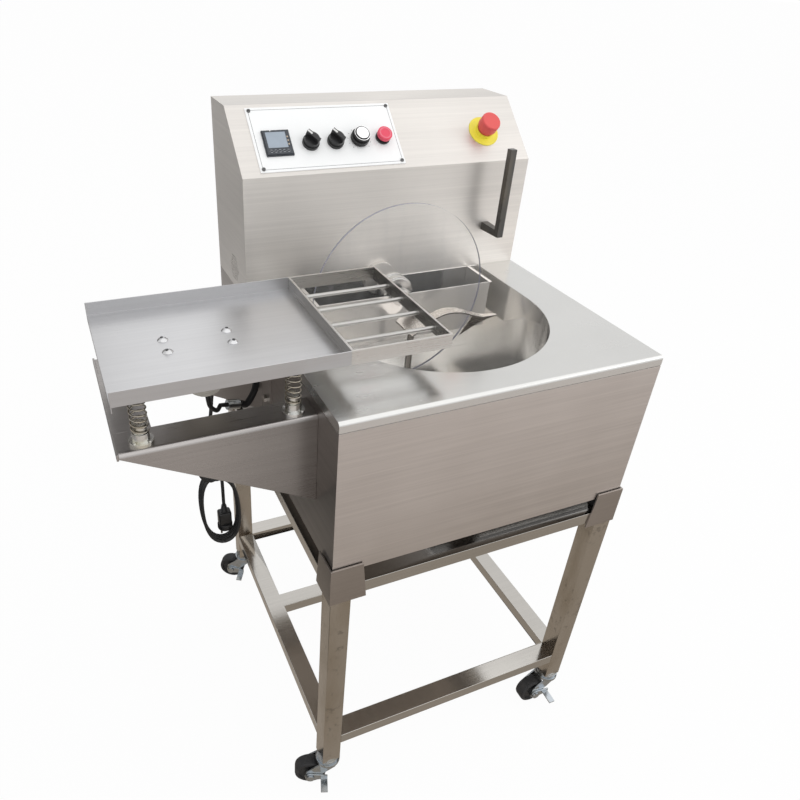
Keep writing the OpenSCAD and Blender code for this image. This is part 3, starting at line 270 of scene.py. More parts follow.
def tyreRubber(name, tone, dusty):
    f = Finish(name)
    dust = f.fade(f.noise(60, 4), 0.46, 0.8)
    fine = f.noise(700, 3)
    tone = f.blend(dust * 0.5, tone, dusty)
    gloss = 0.6 + dust * 0.2 + (fine - 0.5) * 0.15
    return f.feed(Base_Color=tone, Roughness=gloss, Normal=f.bump(fine, 0.08, 0.5))


def clearSheet(name, tone, rimTone, veil, rimShow):  # thin clear plastic, its edge seen as a grey line
    f = Finish(name)
    smear = f.fade(f.noise(16, 4), 0.45, 0.8)
    rim = f.facing(1) < 0.6
    wipe = f.fade(f.noise(1, 3, f.stretched((60, 60, 9))), 0.5, 0.8)
    return f.feed(Base_Color=f.blend(rim, tone, rimTone), Roughness=0.06 + smear * 0.12 + rim * 0.2,
                  Alpha=veil * (0.4 + smear + wipe) + rim * rimShow)


def displayGlass(name, tone):
    f = Finish(name, Coat_Weight=0.6, Coat_Roughness=0.05)
    haze = f.noise(60, 2)
    return f.feed(Base_Color=f.lit(tone, 0.9 + haze * 0.2), Roughness=0.28 + haze * 0.1)


def printedPlate(name, tone):
    f = Finish(name, Coat_Weight=0.2, Coat_Roughness=0.2)
    haze = f.noise(20, 4)
    fine = f.noise(1200, 2)
    return f.feed(Base_Color=f.lit(tone, 0.97 + haze * 0.06), Roughness=0.38 + (haze - 0.5) * 0.12,
                  Normal=f.bump(fine, 0.02, 0.3))


# painted shade and light: share of its tone that each place loses, a negative share is painted light,
# distances in metres
paintedShades = dict(well=0.92, wellSide=0.0065, wellFront=0.001, tank=0.4, blade=0.66, foot=-0.26, rail=0.6,
              rods=0.26, rodsIn=0.005, rim=0.25, rimInner=0.4, rimThick=0.002, lip=0.22, farLip=0.06,
              lipThick=0.004, arm=0.34, armLift=0.08)


def wellShade(f):  # painted shade: the hub's well is darker inside than the partition in front of it
    low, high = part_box("hub_box")
    side = paintedShades["wellSide"]
    behind = f.along(1) > low.y + paintedShades["wellFront"]
    return f.within(0, low.x + side, high.x - side) * behind * paintedShades["well"]


def tankShade(f):  # painted shade: the wall to the right is darker towards the front
    right = f.fade(f.normal(0) * -1, 0.2, 0.9)
    front = f.fade(f.along(1) * -1, -at(0, -140, 0).y, -at(0, -230, 0).y)
    return right * front * paintedShades["tank"]


def bladeShade(f):  # the upright faces of the scraper lie in its own shade
    return f.fade(f.facing(2), 0.75, 0.25) * paintedShades["blade"]


def footShine(f):  # painted light: the housing's face is paler towards its foot
    low = f.fade(f.along(2), at(0, 0, 200).z, at(0, 0, 40).z)
    right = f.fade(f.along(0), at(-190, 0, 0).x, at(-60, 0, 0).x)
    return low * (f.facing(1) > 0.7) * right * paintedShades["foot"]


def railShade(f):  # painted shade: the upper rails' tops lie dark under the cabinet
    return (f.normal(2) > 0.7) * (f.along(2) > at(0, 0, -400).z) * paintedShades["rail"]


def grilleShade(f):  # the thin rods are darker; painted shade on the side faces of the grille's rim, the inner sides darker still
    low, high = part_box("grille")
    edge = paintedShades["rodsIn"]
    rods = f.within(0, low.x + edge, high.x - edge) * f.within(1, low.y + edge, high.y - edge)
    inner = f.along(0) > low.x + paintedShades["rimThick"]
    return rods * paintedShades["rods"] + (f.facing(0) > 0.7) * (paintedShades["rim"] + inner * paintedShades["rimInner"])


def lipShade(f):  # painted shade on the tray's upright lips, the far one darker
    back = f.along(1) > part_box("tray_pan")[1].y - paintedShades["lipThick"]
    return (f.facing(1) > 0.7) * (paintedShades["lip"] + back * paintedShades["farLip"])


def armShade(f):  # painted shade: the arms' front faces darken towards the cabinet, and all their faces are a little paler
    near = f.fade(f.along(0), at(-500, 0, 0).x, at(-290, 0, 0).x)
    return near * (f.facing(1) > 0.7) * paintedShades["arm"] - paintedShades["armLift"]


finishes = dict(
    # painted shade: the cabinet's and the tray's faces along X are darker through their side level
    cabinetSteel=brushedSteel("cabinetSteel", (0.57, 0.53, 0.505), 0.34, 0.24, spread=0.4, sideShadeLevel=0.64),
    housingSteel=brushedSteel("housingSteel", (0.66, 0.632, 0.6), 0.44, 0.18, spread=0.6, shade=footShine,
                              metal=0.8),
    armSteel=brushedSteel("armSteel", (0.37, 0.352, 0.342), 0.3, 0.2, shade=armShade),
    traySteel=brushedSteel("traySteel", (0.64, 0.64, 0.65), 0.32, 0.14, sideShadeLevel=0.72, shade=lipShade),
    plateSteel=brushedSteel("plateSteel", (0.36, 0.325, 0.3), 0.34),
    grilleSteel=brushedSteel("grilleSteel", (0.6, 0.585, 0.565), 0.28, 0.1, shade=grilleShade),
    scraperSteel=brushedSteel("scraperSteel", (0.72, 0.68, 0.64), 0.26, 0.1, shade=bladeShade),
    deckSteel=mirrorSteel("deckSteel", (0.64, 0.637, 0.622), 0.22, 0.4),
    tankSteel=mirrorSteel("tankSteel", (0.94, 0.925, 0.9), 0.13, 0.5, shade=tankShade, metal=0.84),
    wellSteel=mirrorSteel("wellSteel", (0.92, 0.895, 0.865), 0.16, 0.25, shade=wellShade, metal=0.72),
    legSteel=tubeSteel("legSteel", (0.5, 0.46, 0.41), (0.38, 0.33, 0.265), 0.2),
    railSteel=brushedSteel("railSteel", (0.52, 0.5, 0.47), 0.14, 0.1, shade=railShade),
    brightBolt=brightSteel("brightBolt", (0.66, 0.66, 0.65), 0.24),
    springWire=brightSteel("springWire", (0.4, 0.37, 0.32), 0.24, (0.33, 0.28, 0.21)),
    buttonHead=brightSteel("buttonHead", (0.6, 0.6, 0.61), 0.26, (0.5, 0.5, 0.5)),
    socketDark=moulded("socketDark", (0.05, 0.05, 0.052), 0.5),
    hubChrome=brightSteel("hubChrome", (0.64, 0.63, 0.615), 0.22, (0.56, 0.55, 0.535)),
    zincPlate=brightSteel("zincPlate", (0.44, 0.47, 0.5), 0.2, (0.38, 0.385, 0.36)),
    casterTyre=tyreRubber("casterTyre", (0.016, 0.016, 0.018), (0.075, 0.07, 0.065)),
    cordJacket=moulded("cordJacket", (0.011, 0.011, 0.012), 0.48, 600, 0.06),
    blackPlastic=moulded("blackPlastic", (0.012, 0.012, 0.013), 0.36),
    bezelPlastic=moulded("bezelPlastic", (0.042, 0.048, 0.058), 0.36),
    keyPlastic=moulded("keyPlastic", (0.42, 0.44, 0.46), 0.4),
    redPlastic=moulded("redPlastic", (0.82, 0.06, 0.12), 0.4, coat=0.1),
    stopRed=moulded("stopRed", (0.8, 0.1, 0.095), 0.45),
    yellowDisc=moulded("yellowDisc", (0.92, 0.82, 0.08), 0.45),
    markWhite=moulded("markWhite", (0.8, 0.8, 0.79), 0.45),
    printGrey=moulded("printGrey", (0.16, 0.16, 0.17), 0.5),
    lampAmber=moulded("lampAmber", (0.5, 0.4, 0.3), 0.3, coat=0.4),
    ringRed=moulded("ringRed", (0.86, 0.17, 0.24), 0.3, coat=0.2),
    capSilver=brightSteel("capSilver", (0.86, 0.86, 0.86), 0.2, (0.84, 0.84, 0.84)),
    screwSteel=brightSteel("screwSteel", (0.13, 0.13, 0.13), 0.3, (0.1, 0.1, 0.1)),
    nickelPin=brightSteel("nickelPin", (0.62, 0.58, 0.5), 0.2),
    displayGlass=displayGlass("displayGlass", (0.33, 0.39, 0.46)),
    printedPlate=printedPlate("printedPlate", (0.96, 0.97, 0.97)),
    motorPaint=moulded("motorPaint", (0.5, 0.47, 0.42), 0.42, 300, 0.1),
    gearPaint=moulded("gearPaint", (0.16, 0.18, 0.21), 0.45, 300, 0.1),
    darkBar=tubeSteel("darkBar", (0.1, 0.1, 0.1), (0.2, 0.175, 0.14), 0.36),
    heaterMat=moulded("heaterMat", (0.3, 0.1, 0.03), 0.6),
    footRubber=moulded("footRubber", (0.02, 0.02, 0.021), 0.65),
    clearWheel=clearSheet("clearWheel", (0.86, 0.86, 0.87), (0.3, 0.3, 0.36), 0.05, 0.88),
)
print("finishes made,", len(finishes))

# stage

studio = dict(floorTone=0.84, floorWide=40, floorGlow=0.96, skyLight=0.74,
              key=(57, (0.9, -1.25, 3.3), 6.4), fill=(8, (2.7, -1.2, 1.9), 1.8),
              rim=(0.6, (0.6, 2.6, 2.6), 1.8), mats=("frontMat", "underMat", "leftMat", "leftCard"),
              frontMat=dict(low=(-2.2, -3.0, 0.002), high=(2.6, -0.7, 0.002),
                            near=(-0.7, (0.41, 0.365, 0.315)), far=(-1.25, (0.72, 0.67, 0.635))),
              underMat=dict(low=(-0.42, -0.7, 0.002), high=(2.6, 1.2, 0.002),
                            near=(0.3, (0.41, 0.365, 0.315)), far=(1.2, (0.6, 0.57, 0.54))),
              leftMat=dict(low=(-3.4, -0.7, 0.002), high=(-0.42, 4.0, 0.002),
                           near=(1.0, (0.04, 0.04, 0.04)), far=(1.6, (0.55, 0.53, 0.51))),
              leftCard=dict(low=(-3.4, 2.4, 0.0), high=(-0.5, 2.4, 3.4),
                            near=(0.0, (0.3, 0.29, 0.28)), far=(1.0, (0.3, 0.29, 0.28))))


def setStage(plan):
    floor = bpy.data.meshes.new("floor")
    wide = plan["floorWide"]
    corners = [(-wide, -wide, 0), (wide, -wide, 0), (wide, wide, 0), (-wide, wide, 0)]
    floor.from_pydata(corners, [], [(0, 1, 2, 3)])
    ground = bpy.data.objects.new("floor", floor)
    scene.collection.objects.link(ground)
    pale = Finish("floorPale", Roughness=0.9)
    pale.shader.inputs["Base Color"].default_value = (plan["floorTone"],) * 3 + (1,)
    glow = pale.make("ShaderNodeEmission")
    seen = seenRays(pale) * plan["floorGlow"]
    mixed = pale.make("ShaderNodeMixShader", None, {0: seen, 1: Wire(pale, pale.shader.outputs[0]), 2: glow})
    pale.tree.links.new(mixed.socket, pale.tree.nodes["Material Output"].inputs[0])
    floor.materials.append(pale.material)
    world = bpy.data.worlds.new("studioSky")
    scene.world = world
    world.use_nodes = True
    sky = Graph()
    sky.tree = world.node_tree
    back = sky.tree.nodes["Background"]
    strength = plan["skyLight"] + seenRays(sky) * (1 - plan["skyLight"])
    sky.tree.links.new(strength.socket, back.inputs["Strength"])
    back.inputs["Color"].default_value = (1, 1, 1, 1)
    middle = (cadBox[0] + cadBox[1]) / 2
    for name in ("key", "fill", "rim"):
        power, place, size = plan[name]
        lamp = bpy.data.lights.new(name, "AREA")
        lamp.energy, lamp.size = power, size
        holder = bpy.data.objects.new(name, lamp)
        holder.location = place
        holder.rotation_euler = (middle - Vector(place)).to_track_quat("-Z", "Y").to_euler()
        scene.collection.objects.link(holder)
    for name in plan["mats"]:
        layMat(name, **plan[name])
    scene.view_settings.view_transform = "Standard"


def seenRays(graph):  # camera, glossy and transmission rays
    rays = [graph.make("ShaderNodeLightPath", out=k) for k in (0, 3, 6)]
    return (rays[0] + rays[1] + rays[2]) > 0.5


def layMat(name, low, high, near, far):  # grey mat or card that only the metal reflects
    sheet = bpy.data.meshes.new(name)
    corners = [low, (high[0], low[1], low[2]), high, (low[0], high[1], high[2])]
    sheet.from_pydata(corners, [], [(0, 1, 2, 3)])
    mat = bpy.data.objects.new(name, sheet)
    scene.collection.objects.link(mat)
    grey = Finish(name, Emission_Strength=1.0, Roughness=1.0, Specular_IOR_Level=0.0)
    grey.shader.inputs["Base Color"].default_value = (0, 0, 0, 1)
    distance = grey.fade(grey.along(1), near[0], far[0])
    sheet.materials.append(grey.feed(Emission_Color=grey.blend(distance, near[1], far[1])))
    mat.visible_camera = mat.visible_diffuse = mat.visible_shadow = mat.visible_transmission = False


setStage(studio)
print("stage set")

# shapes


def addPiece(name, mesh, finish, body, replaces=()):
    piece = bpy.data.objects.new(name, mesh)
    scene.collection.objects.link(piece)
    mesh.materials.clear()
    mesh.materials.append(finishes[finish])
    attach(piece, body)
    if replaces:
        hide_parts(*replaces)
    return piece


def sharpen(mesh, angle=26):
    mesh.shade_smooth()
    mesh.set_sharp_from_angle(angle=radians(angle))


def lathe(name, profile, steps=64):  # profile of radius and height in millimetres, turned about Z
    bm = bmesh.new()
    line = [bm.verts.new((r / 1000, 0, z / 1000)) for r, z in profile]
    edges = [bm.edges.new(pair) for pair in zip(line, line[1:])]
    bmesh.ops.spin(bm, geom=line + edges, axis=(0, 0, 1), cent=(0, 0, 0), steps=steps, angle=2 * pi)
    bmesh.ops.remove_doubles(bm, verts=bm.verts, dist=1e-6)
    bmesh.ops.recalc_face_normals(bm, faces=bm.faces)
    mesh = bpy.data.meshes.new(name)
    bm.to_mesh(mesh)
    bm.free()
    sharpen(mesh)
    return mesh


def block(name, low, high, edge=0.3, segments=2):  # rounded box in millimetres
    bm = bmesh.new()
    bmesh.ops.create_cube(bm, size=1)
    low, high = Vector(low) / 1000, Vector(high) / 1000
    for v in bm.verts:
        v.co = Vector([low[k] + (v.co[k] + 0.5) * (high[k] - low[k]) for k in range(3)])
    bmesh.ops.bevel(bm, geom=bm.edges[:], offset=edge / 1000, segments=segments, profile=0.5, affect="EDGES")
    mesh = bpy.data.meshes.new(name)
    bm.to_mesh(mesh)
    bm.free()
    sharpen(mesh)
    return mesh


class Repeat(Graph):  # a geometry tree that is turned into a plain mesh
    kinds = {float: "NodeSocketFloat", int: "NodeSocketInt", tuple: "NodeSocketVector"}

    def __init__(self, name, **sizes):
        self.name, self.sizes = name, sizes
        self.tree = bpy.data.node_groups.new(name, "GeometryNodeTree")
        face = self.tree.interface
        face.new_socket("Geometry", in_out="OUTPUT", socket_type="NodeSocketGeometry")
        self.keys = {key: face.new_socket(key, in_out="INPUT", socket_type=self.kinds[type(value)])
                     for key, value in sizes.items()}
        self.entry = self.tree.nodes.new("NodeGroupInput")

    def size(self, key):
        return Wire(self, self.entry.outputs[key])

    def bake(self, shape, finish):
        real = self.make("GeometryNodeRealizeInstances", None, {0: shape})
        painted = self.make("GeometryNodeSetMaterial", None, {"Geometry": real, "Material": finishes[finish]})
        end = self.tree.nodes.new("NodeGroupOutput")
        self.tree.links.new(painted.socket, end.inputs[0])
        carrier = bpy.data.objects.new(self.name, bpy.data.meshes.new(self.name))
        scene.collection.objects.link(carrier)
        maker = carrier.modifiers.new("maker", "NODES")
        maker.node_group = self.tree
        for key, value in self.sizes.items():
            maker[self.keys[key].identifier] = value
        ready = carrier.evaluated_get(bpy.context.evaluated_depsgraph_get())
        mesh = bpy.data.meshes.new_from_object(ready)
        carrier.modifiers.remove(maker)
        bpy.data.objects.remove(carrier)
        return mesh

    def copies(self, points, shape, finish, turn=(0, 0, 0)):
        model = bpy.data.objects.new(self.name + "Model", shape)
        scene.collection.objects.link(model)
        source = self.make("GeometryNodeObjectInfo", None, {"Object": model}, out="Geometry")
        spread = self.make("GeometryNodeInstanceOnPoints", None,
                           {"Points": points, "Instance": source, "Rotation": turn})
        mesh = self.bake(spread, finish)
        bpy.data.objects.remove(model)
        sharpen(mesh)
        return mesh


def inLine(name, shape, count, step, finish):  # copies side by side along X, step in millimetres
    tree = Repeat(name, count=count, step=step / 1000)
    points = tree.make("GeometryNodeMeshLine", dict(mode="OFFSET"),
                       {"Count": tree.size("count"), "Start Location": ((1 - count) * step / 2000, 0, 0),
                        "Offset": tree.make("ShaderNodeCombineXYZ", None, {0: tree.size("step")})})
    return tree.copies(points, shape, finish)


def inRing(name, shape, count, start, step, finish):  # copies turned about Z, angles in degrees
    tree = Repeat(name, count=count, start=radians(start), step=radians(step))
    points = tree.make("GeometryNodeMeshLine", dict(mode="OFFSET"),
                       {"Count": tree.size("count"), "Offset": (0, 0, 0)})
    angle = tree.make("GeometryNodeInputIndex") * tree.size("step") + tree.size("start")
    return tree.copies(points, shape, finish, tree.make("ShaderNodeCombineXYZ", None, {2: angle}))


# power cord: out of the gland, down beside the stand, a hanging hank, then the plug

cordPlan = dict(radius=4, gland=(-280.5, 107.5, -232), glandLong=17.3, middle=(-336, 102.5, -588),
                halfWide=42, halfHigh=100, lean=10, loops=3, step=10.5, full=0.2,
                plugTop=(-318.5, 134, -595.5), bootLong=26, bootRadius=7.4, tieWide=5, tieThick=1.3)


def through(points, steps):  # smooth curve through a run of points
    run = []
    last = len(points) - 1
    for i in range(last):
        a, b, c, d = (points[k] for k in (max(i - 1, 0), i, i + 1, min(i + 2, last)))
        for k in range(steps):
            t = k / steps
            run.append(0.5 * (2 * b + (c - a) * t + (2 * a - 5 * b + 4 * c - d) * t * t
                              + (3 * b - a - 3 * c + d) * t * t * t))
    return run + [points[last]]


def tubeCurve(name, points, radius, finish, swell=None):
    line = bpy.data.curves.new(name, "CURVE")
    line.dimensions = "3D"
    line.bevel_depth = radius / 1000
    line.bevel_resolution = 4
    line.use_fill_caps = True
    spline = line.splines.new("POLY")
    spline.points.add(len(points) - 1)
    for p, co in zip(spline.points, points):
        p.co = (*at(*co), 1)
    for p, wide in zip(spline.points, swell or ()):
        p.radius = wide
    spline.use_smooth = True
    line.materials.append(finishes[finish])
    piece = bpy.data.objects.new(name, line)
    scene.collection.objects.link(piece)
    return piece


def cordRoute(plan):
    gland, middle, plug = (Vector(plan[k]) for k in ("gland", "middle", "plugTop"))
    r, wide, high, out = plan["radius"], plan["halfWide"], plan["halfHigh"], plan["glandLong"]

    def onHank(angle):
        s, c = sin(radians(angle)), cos(radians(angle))
        return middle + Vector((wide * s * (1 + plan["full"] * c * c) + plan["lean"] * (1 - c) / 2,
                                plan["step"] * angle / 360, high * c))

    aside = Vector((2 * r, 0, 0))
    first, last = onHank(0) - aside, onHank(360 * plan["loops"]) + aside
    down = [gland - Vector((out, 0, 0))]
    down += through([gland - Vector((out + 4.7, 0, 0)), gland - Vector((out + 13.7, 0, 0)),
                     gland - Vector((51, 0, 27)), Vector((middle.x - 7, middle.y + 2, gland.z - 98)),
                     first + Vector((-30, 1, 60)), first + Vector((-27, 0, 17)), first - Vector((9, 0, 0)),
                     first], 6)
    hank = [onHank(10 * i) for i in range(36 * plan["loops"] + 1)]
    up = through([last, last + Vector((6, 0, 0)), Vector((plug.x - 1, plug.y, last.z - 16)),
                  plug + Vector((0, 0, 56)), plug + Vector((0, 0, 32)), plug + Vector((0, 0, 10))], 8)
    return down + hank + up + [plug]


def routeLength(points):
    return sum((b - a).length for a, b in zip(points, points[1:])) / 1000


def joined(name, *meshes):
    bm = bmesh.new()
    for mesh in meshes:
        bm.from_mesh(mesh)
    mesh = bpy.data.meshes.new(name)
    bm.to_mesh(mesh)
    bm.free()
    sharpen(mesh)
    return mesh


bandSection = ((0, -0.86), (0, 0.86), (0.3, 1), (0.7, 1), (1, 0.86), (1, -0.86), (0.7, -1), (0.3, -1))


def strip(name, path, across, thick, wide):  # flat band swept along a closed path, all in millimetres
    bm = bmesh.new()
    count = len(path)
    rings = []
    for i in range(count):
        way = (path[(i + 1) % count] - path[i - 1]).normalized()
        out = across.cross(way).normalized()
        rings.append([bm.verts.new((path[i] + out * a * thick + across * b * wide / 2) / 1000)
                      for a, b in bandSection])
    for i in range(count):
        near, far = rings[i], rings[(i + 1) % count]
        for k in range(8):
            bm.faces.new((near[k], near[(k + 1) % 8], far[(k + 1) % 8], far[k]))
    bmesh.ops.recalc_face_normals(bm, faces=bm.faces)
    mesh = bpy.data.meshes.new(name)
    bm.to_mesh(mesh)
    bm.free()
    sharpen(mesh, 40)
    return mesh


plugPlan = dict(ribs=6, ribStep=3.4, ribFirst=5.5, ribGrow=0.58, bootFoot=[(9, -21), (9, -24), (0, -24)],
                gripLow=(-15.5, -12.5, -57), gripHigh=(15.5, 12.5, -19), gripRound=5,
                face=[(0, -53.5), (13, -53.6), (16.6, -55), (18, -58), (18, -66), (17.2, -66.6),
                      (17.2, -67.4), (18, -68), (17.4, -70), (0, -70)],
                pin=[(0, -89), (1.5, -88.6), (2.2, -87.6), (2.4, -86), (2.4, -70), (0, -70)],
                pins=2, pinStep=19.0)


def makePlug(plan, top):
    place = Matrix.Translation(at(*top))
    ribs = []
    for i in range(plan["ribs"]):
        z, r = -plan["ribStep"] * i, plan["ribFirst"] + plan["ribGrow"] * i
        ribs += [(r - 0.5, z), (r + 0.3, z - 0.7), (r + 0.3, z - 1.9), (r - 0.4, z - 2.6)]
    boot = lathe("plugBoot", [(0, 0)] + ribs + plan["bootFoot"], 40)
    grip = block("plugGrip", plan["gripLow"], plan["gripHigh"], plan["gripRound"], 5)
    face = lathe("plugFace", plan["face"], 56)
    body = joined("plugBody", boot, grip, face)
    body.transform(place)
    pin = lathe("plugPin", plan["pin"], 24)
    pins = inLine("plugPins", pin, plan["pins"], plan["pinStep"], "nickelPin")
    pins.transform(place)
    return (addPiece("plugBody", body, "blackPlastic", "frame", ["power_plug"]),
            addPiece("plugPins", pins, "nickelPin", "frame"))


def makeTie(plan):  # band round the top of the loops
    r = plan["radius"] + 0.4
    low, high = -r, plan["step"] * plan["loops"] + r
    turn, rise = r * 0.9, 0.1 * r
    middles = ((high - turn, rise), (low + turn, rise), (low + turn, -rise), (high - turn, -rise))
    path = [Vector((0, y + turn * cos(a), z + turn * sin(a))) for quarter, (y, z) in enumerate(middles)
            for a in [radians(90 * quarter + 15 * k) for k in range(7)]]
    band = strip("cordTie", path, Vector((1, 0, 0)), plan["tieThick"], plan["tieWide"])
    top = Vector(plan["middle"]) + Vector((0, 0, plan["halfHigh"]))
    band.transform(Matrix.Translation(at(*top)))
    return addPiece("cordTie", band, "cordJacket", "frame")


def makeBoot(plan, points):  # ribbed strain relief, tapered along the cord
    run, radii, gone = [points[0]], [], 0.0
    for a, b in zip(points, points[1:]):
        steps = max(1, round((b - a).length / 1.1))
        for k in range(steps):
            gone += (b - a).length / steps
            if gone < plan["bootLong"]:
                run.append(a.lerp(b, (k + 1) / steps))
    for i in range(len(run)):
        taper = plan["bootRadius"] + (plan["radius"] + 0.7 - plan["bootRadius"]) * i / (len(run) - 1)
        radii.append(taper if i % 4 in (0, 1) else taper - 0.6)
    piece = tubeCurve("cordBoot", run, 1.0, "cordJacket", radii)
    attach(piece, "frame")


cordPoints = cordRoute(cordPlan)
powerCord = tubeCurve("powerCord", cordPoints, cordPlan["radius"], "cordJacket")
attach(powerCord, "frame")
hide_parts("power_cord")
plugBody, plugPins = makePlug(plugPlan, cordPlan["plugTop"])
cordTie = makeTie(cordPlan)
makeBoot(cordPlan, cordPoints)
routeLength(cordPoints)
print("power cord", round(routeLength(cordPoints), 3), "m")

# carried-over nodes: edges softened, finish set


def camel(name):
    first, *rest = name.split("_")
    return first + "".join(word.capitalize() for word in rest)


def evenNormals(mesh):  # flat faces keep their own normal, their rounded edges blend into it
    carrier = bpy.data.objects.new(mesh.name, mesh)
    scene.collection.objects.link(carrier)
    even = carrier.modifiers.new("even", "WEIGHTED_NORMAL")
    even.mode, even.weight, even.keep_sharp = "FACE_AREA", 100, True
    ready = carrier.evaluated_get(bpy.context.evaluated_depsgraph_get())
    smooth = bpy.data.meshes.new_from_object(ready)
    carrier.modifiers.remove(even)
    bpy.data.objects.remove(carrier)
    return smooth


barPlan = dict(root=(202.5, 0, 80.5), front=-56, thick=14.5, slim=12.2)


def slimBar(bm, plan):  # a thinner section in front of the housing's face
    root, half = at(*plan["root"]), plan["slim"] / 2000
    back = root.y + (plan["front"] + plan["thick"]) / 1000
    for v in bm.verts:
        if v.co.y > root.y - 0.001:
            continue
        v.co.x = min(max(v.co.x, root.x - half), root.x + half)
        if v.co.z < root.z + plan["thick"] / 1000:
            v.co.z = min(max(v.co.z, root.z - half), root.z + half)
        if abs(v.co.y - back) < 0.0005:
            v.co.y = back - (plan["thick"] - plan["slim"]) / 1000


def soften(name, finish, edge, angle=32):
    bm = bmesh.new()
    bm.from_mesh(nodes[name].data)
    bmesh.ops.remove_doubles(bm, verts=bm.verts, dist=1e-6)
    bmesh.ops.dissolve_limit(bm, angle_limit=radians(1), verts=bm.verts[:], edges=bm.edges[:])
    if name == "l_bar":
        slimBar(bm, barPlan)
    sharp = [e for e in bm.edges if len(e.link_faces) == 2 and e.calc_face_angle(0) > radians(angle)]
    if name in pressed:  # inner corners stay square where one piece runs in another
        sharp = [e for e in sharp if e.is_convex]
    bmesh.ops.bevel(bm, geom=sharp, offset=edge / 1000, segments=2, profile=0.5, affect="EDGES",
                    clamp_overlap=True)
    mesh = bpy.data.meshes.new(camel(name))
    bm.to_mesh(mesh)
    bm.free()
    sharpen(mesh, 50)
    addPiece(camel(name), evenNormals(mesh), finish, bodyOf[name], [name])


pressed = ("red_button", "estop_head", "operator_bezels")
softNodes = dict(
    cabinet_shell=("cabinetSteel", 0.5), top_deck=("deckSteel", 0.4), housing_shell=("housingSteel", 0.6),
    tank=("tankSteel", 0.4), hub_box=("wellSteel", 0.4), back_cover=("housingSteel", 0.3),
    stand_legs=("legSteel", 1.2), stand_rails=("railSteel", 1.2), corner_plates=("plateSteel", 0.5),
    front_arm=("armSteel", 0.4), rear_arm=("armSteel", 0.4), arm_strip=("armSteel", 0.4),
    tray_pan=("traySteel", 0.4), grille=("grilleSteel", 0.4), l_bar=("darkBar", 0.6),
    control_plate=("printedPlate", 0.3), controller_case=("bezelPlastic", 0.7),
    operator_bezels=("blackPlastic", 0.6), estop_disc=("yellowDisc", 0.3),
    selector_left=("blackPlastic", 0.8), selector_right=("blackPlastic", 0.8),
    dial_knob=("blackPlastic", 0.6), red_button=("redPlastic", 1.4), estop_head=("stopRed", 0.8),
    wheel_hub=("hubChrome", 0.5), hub_bolts=("brightBolt", 0.4), shaft_bearing=("housingSteel", 0.5),
    vibration_motor=("motorPaint", 0.8), tray_bolts=("buttonHead", 0.5), arm_bolts=("brightBolt", 0.5),
    spring_seats=("brightBolt", 0.4), cable_glands=("zincPlate", 0.5), caster_heads=("zincPlate", 0.5),
    wheel_disc=("clearWheel", 0.3), case_screws=("screwSteel", 0.2),
)
for corner in ("fl", "fr", "bl", "br"):
    softNodes["fork_" + corner] = ("zincPlate", 0.4)
    softNodes["brake_" + corner] = ("zincPlate", 0.4)
    softNodes["roll_" + corner] = ("casterTyre", 0.4)
plainNodes = dict(bottom_plate="cabinetSteel", rubber_feet="footRubber", heater_mats="heaterMat",
                  tank_probe="brightBolt", controller_window="displayGlass", gear_motor="gearPaint",
                  motor_bracket="cabinetSteel", bar_bush="housingSteel")
for name, (finish, edge) in softNodes.items():
    soften(name, finish, edge)
for name, finish in plainNodes.items():
    nodes[name].data.materials.clear()
    nodes[name].data.materials.append(finishes[finish])
print("nodes dressed,", len(softNodes) + len(plainNodes))

# small details of the sloped panel, heights in millimetres over its plate

panel = dict(tilt=43.229, foot=202.5, plate=1.5, low=(-247.5, 8), high=(19.5, 130), lineIn=4.5, lineWide=0.7)
controller = dict(place=(-206.5, 60), keys=5, keyStep=7.5, keyRow=-16.5, keyFloor=4.2,
                  keyHighlightRim=(6.6, 5.4, 0.75), keyCap=(4.9, 3.7, 1.0), lampAcross=18.5, lamps=(-4.5, 2.5, 9.5),
                  lampHalf=1.35, lampFloor=4.4, light=(-9, 21.7), faceTop=5.0)
knobs = dict(selector_left=(-148, 57.5), selector_right=(-102.5, 57.5), turn=40, markTop=23.8,
             markHalf=1.75, markReach=(3.3, 12.8), dial=(-56.5, 60), capTop=19.6, capWide=11.2,
             ticks=11, tickIn=19.5, tickOut=22.0, tickTurn=270, red=(-11.5, 60), redTop=15.5)


def onPanel(u, v, height=0.0):
    lift = panel["plate"] + height
    return (Matrix.Translation(at(u, 0, panel["foot"])) @ Matrix.Rotation(radians(panel["tilt"]), 4, "X")
            @ Matrix.Translation((0, v / 1000, lift / 1000)))


def borderLine(plan):
    (x0, v0), (x1, v1) = plan["low"], plan["high"]
    a, b = plan["lineIn"], plan["lineIn"] + plan["lineWide"]
    sides = [((x0 + a, v0 + a), (x1 - a, v0 + b)), ((x0 + a, v1 - b), (x1 - a, v1 - a)),
             ((x0 + a, v0 + b), (x0 + b, v1 - b)), ((x1 - b, v0 + b), (x1 - a, v1 - b))]
    line = joined("plateLine", *[block("side", (*low, -0.05), (*high, 0.06), 0.02, 1) for low, high in sides])
    line.transform(onPanel(0, 0))
    addPiece("plateLine", line, "printGrey", "frame")


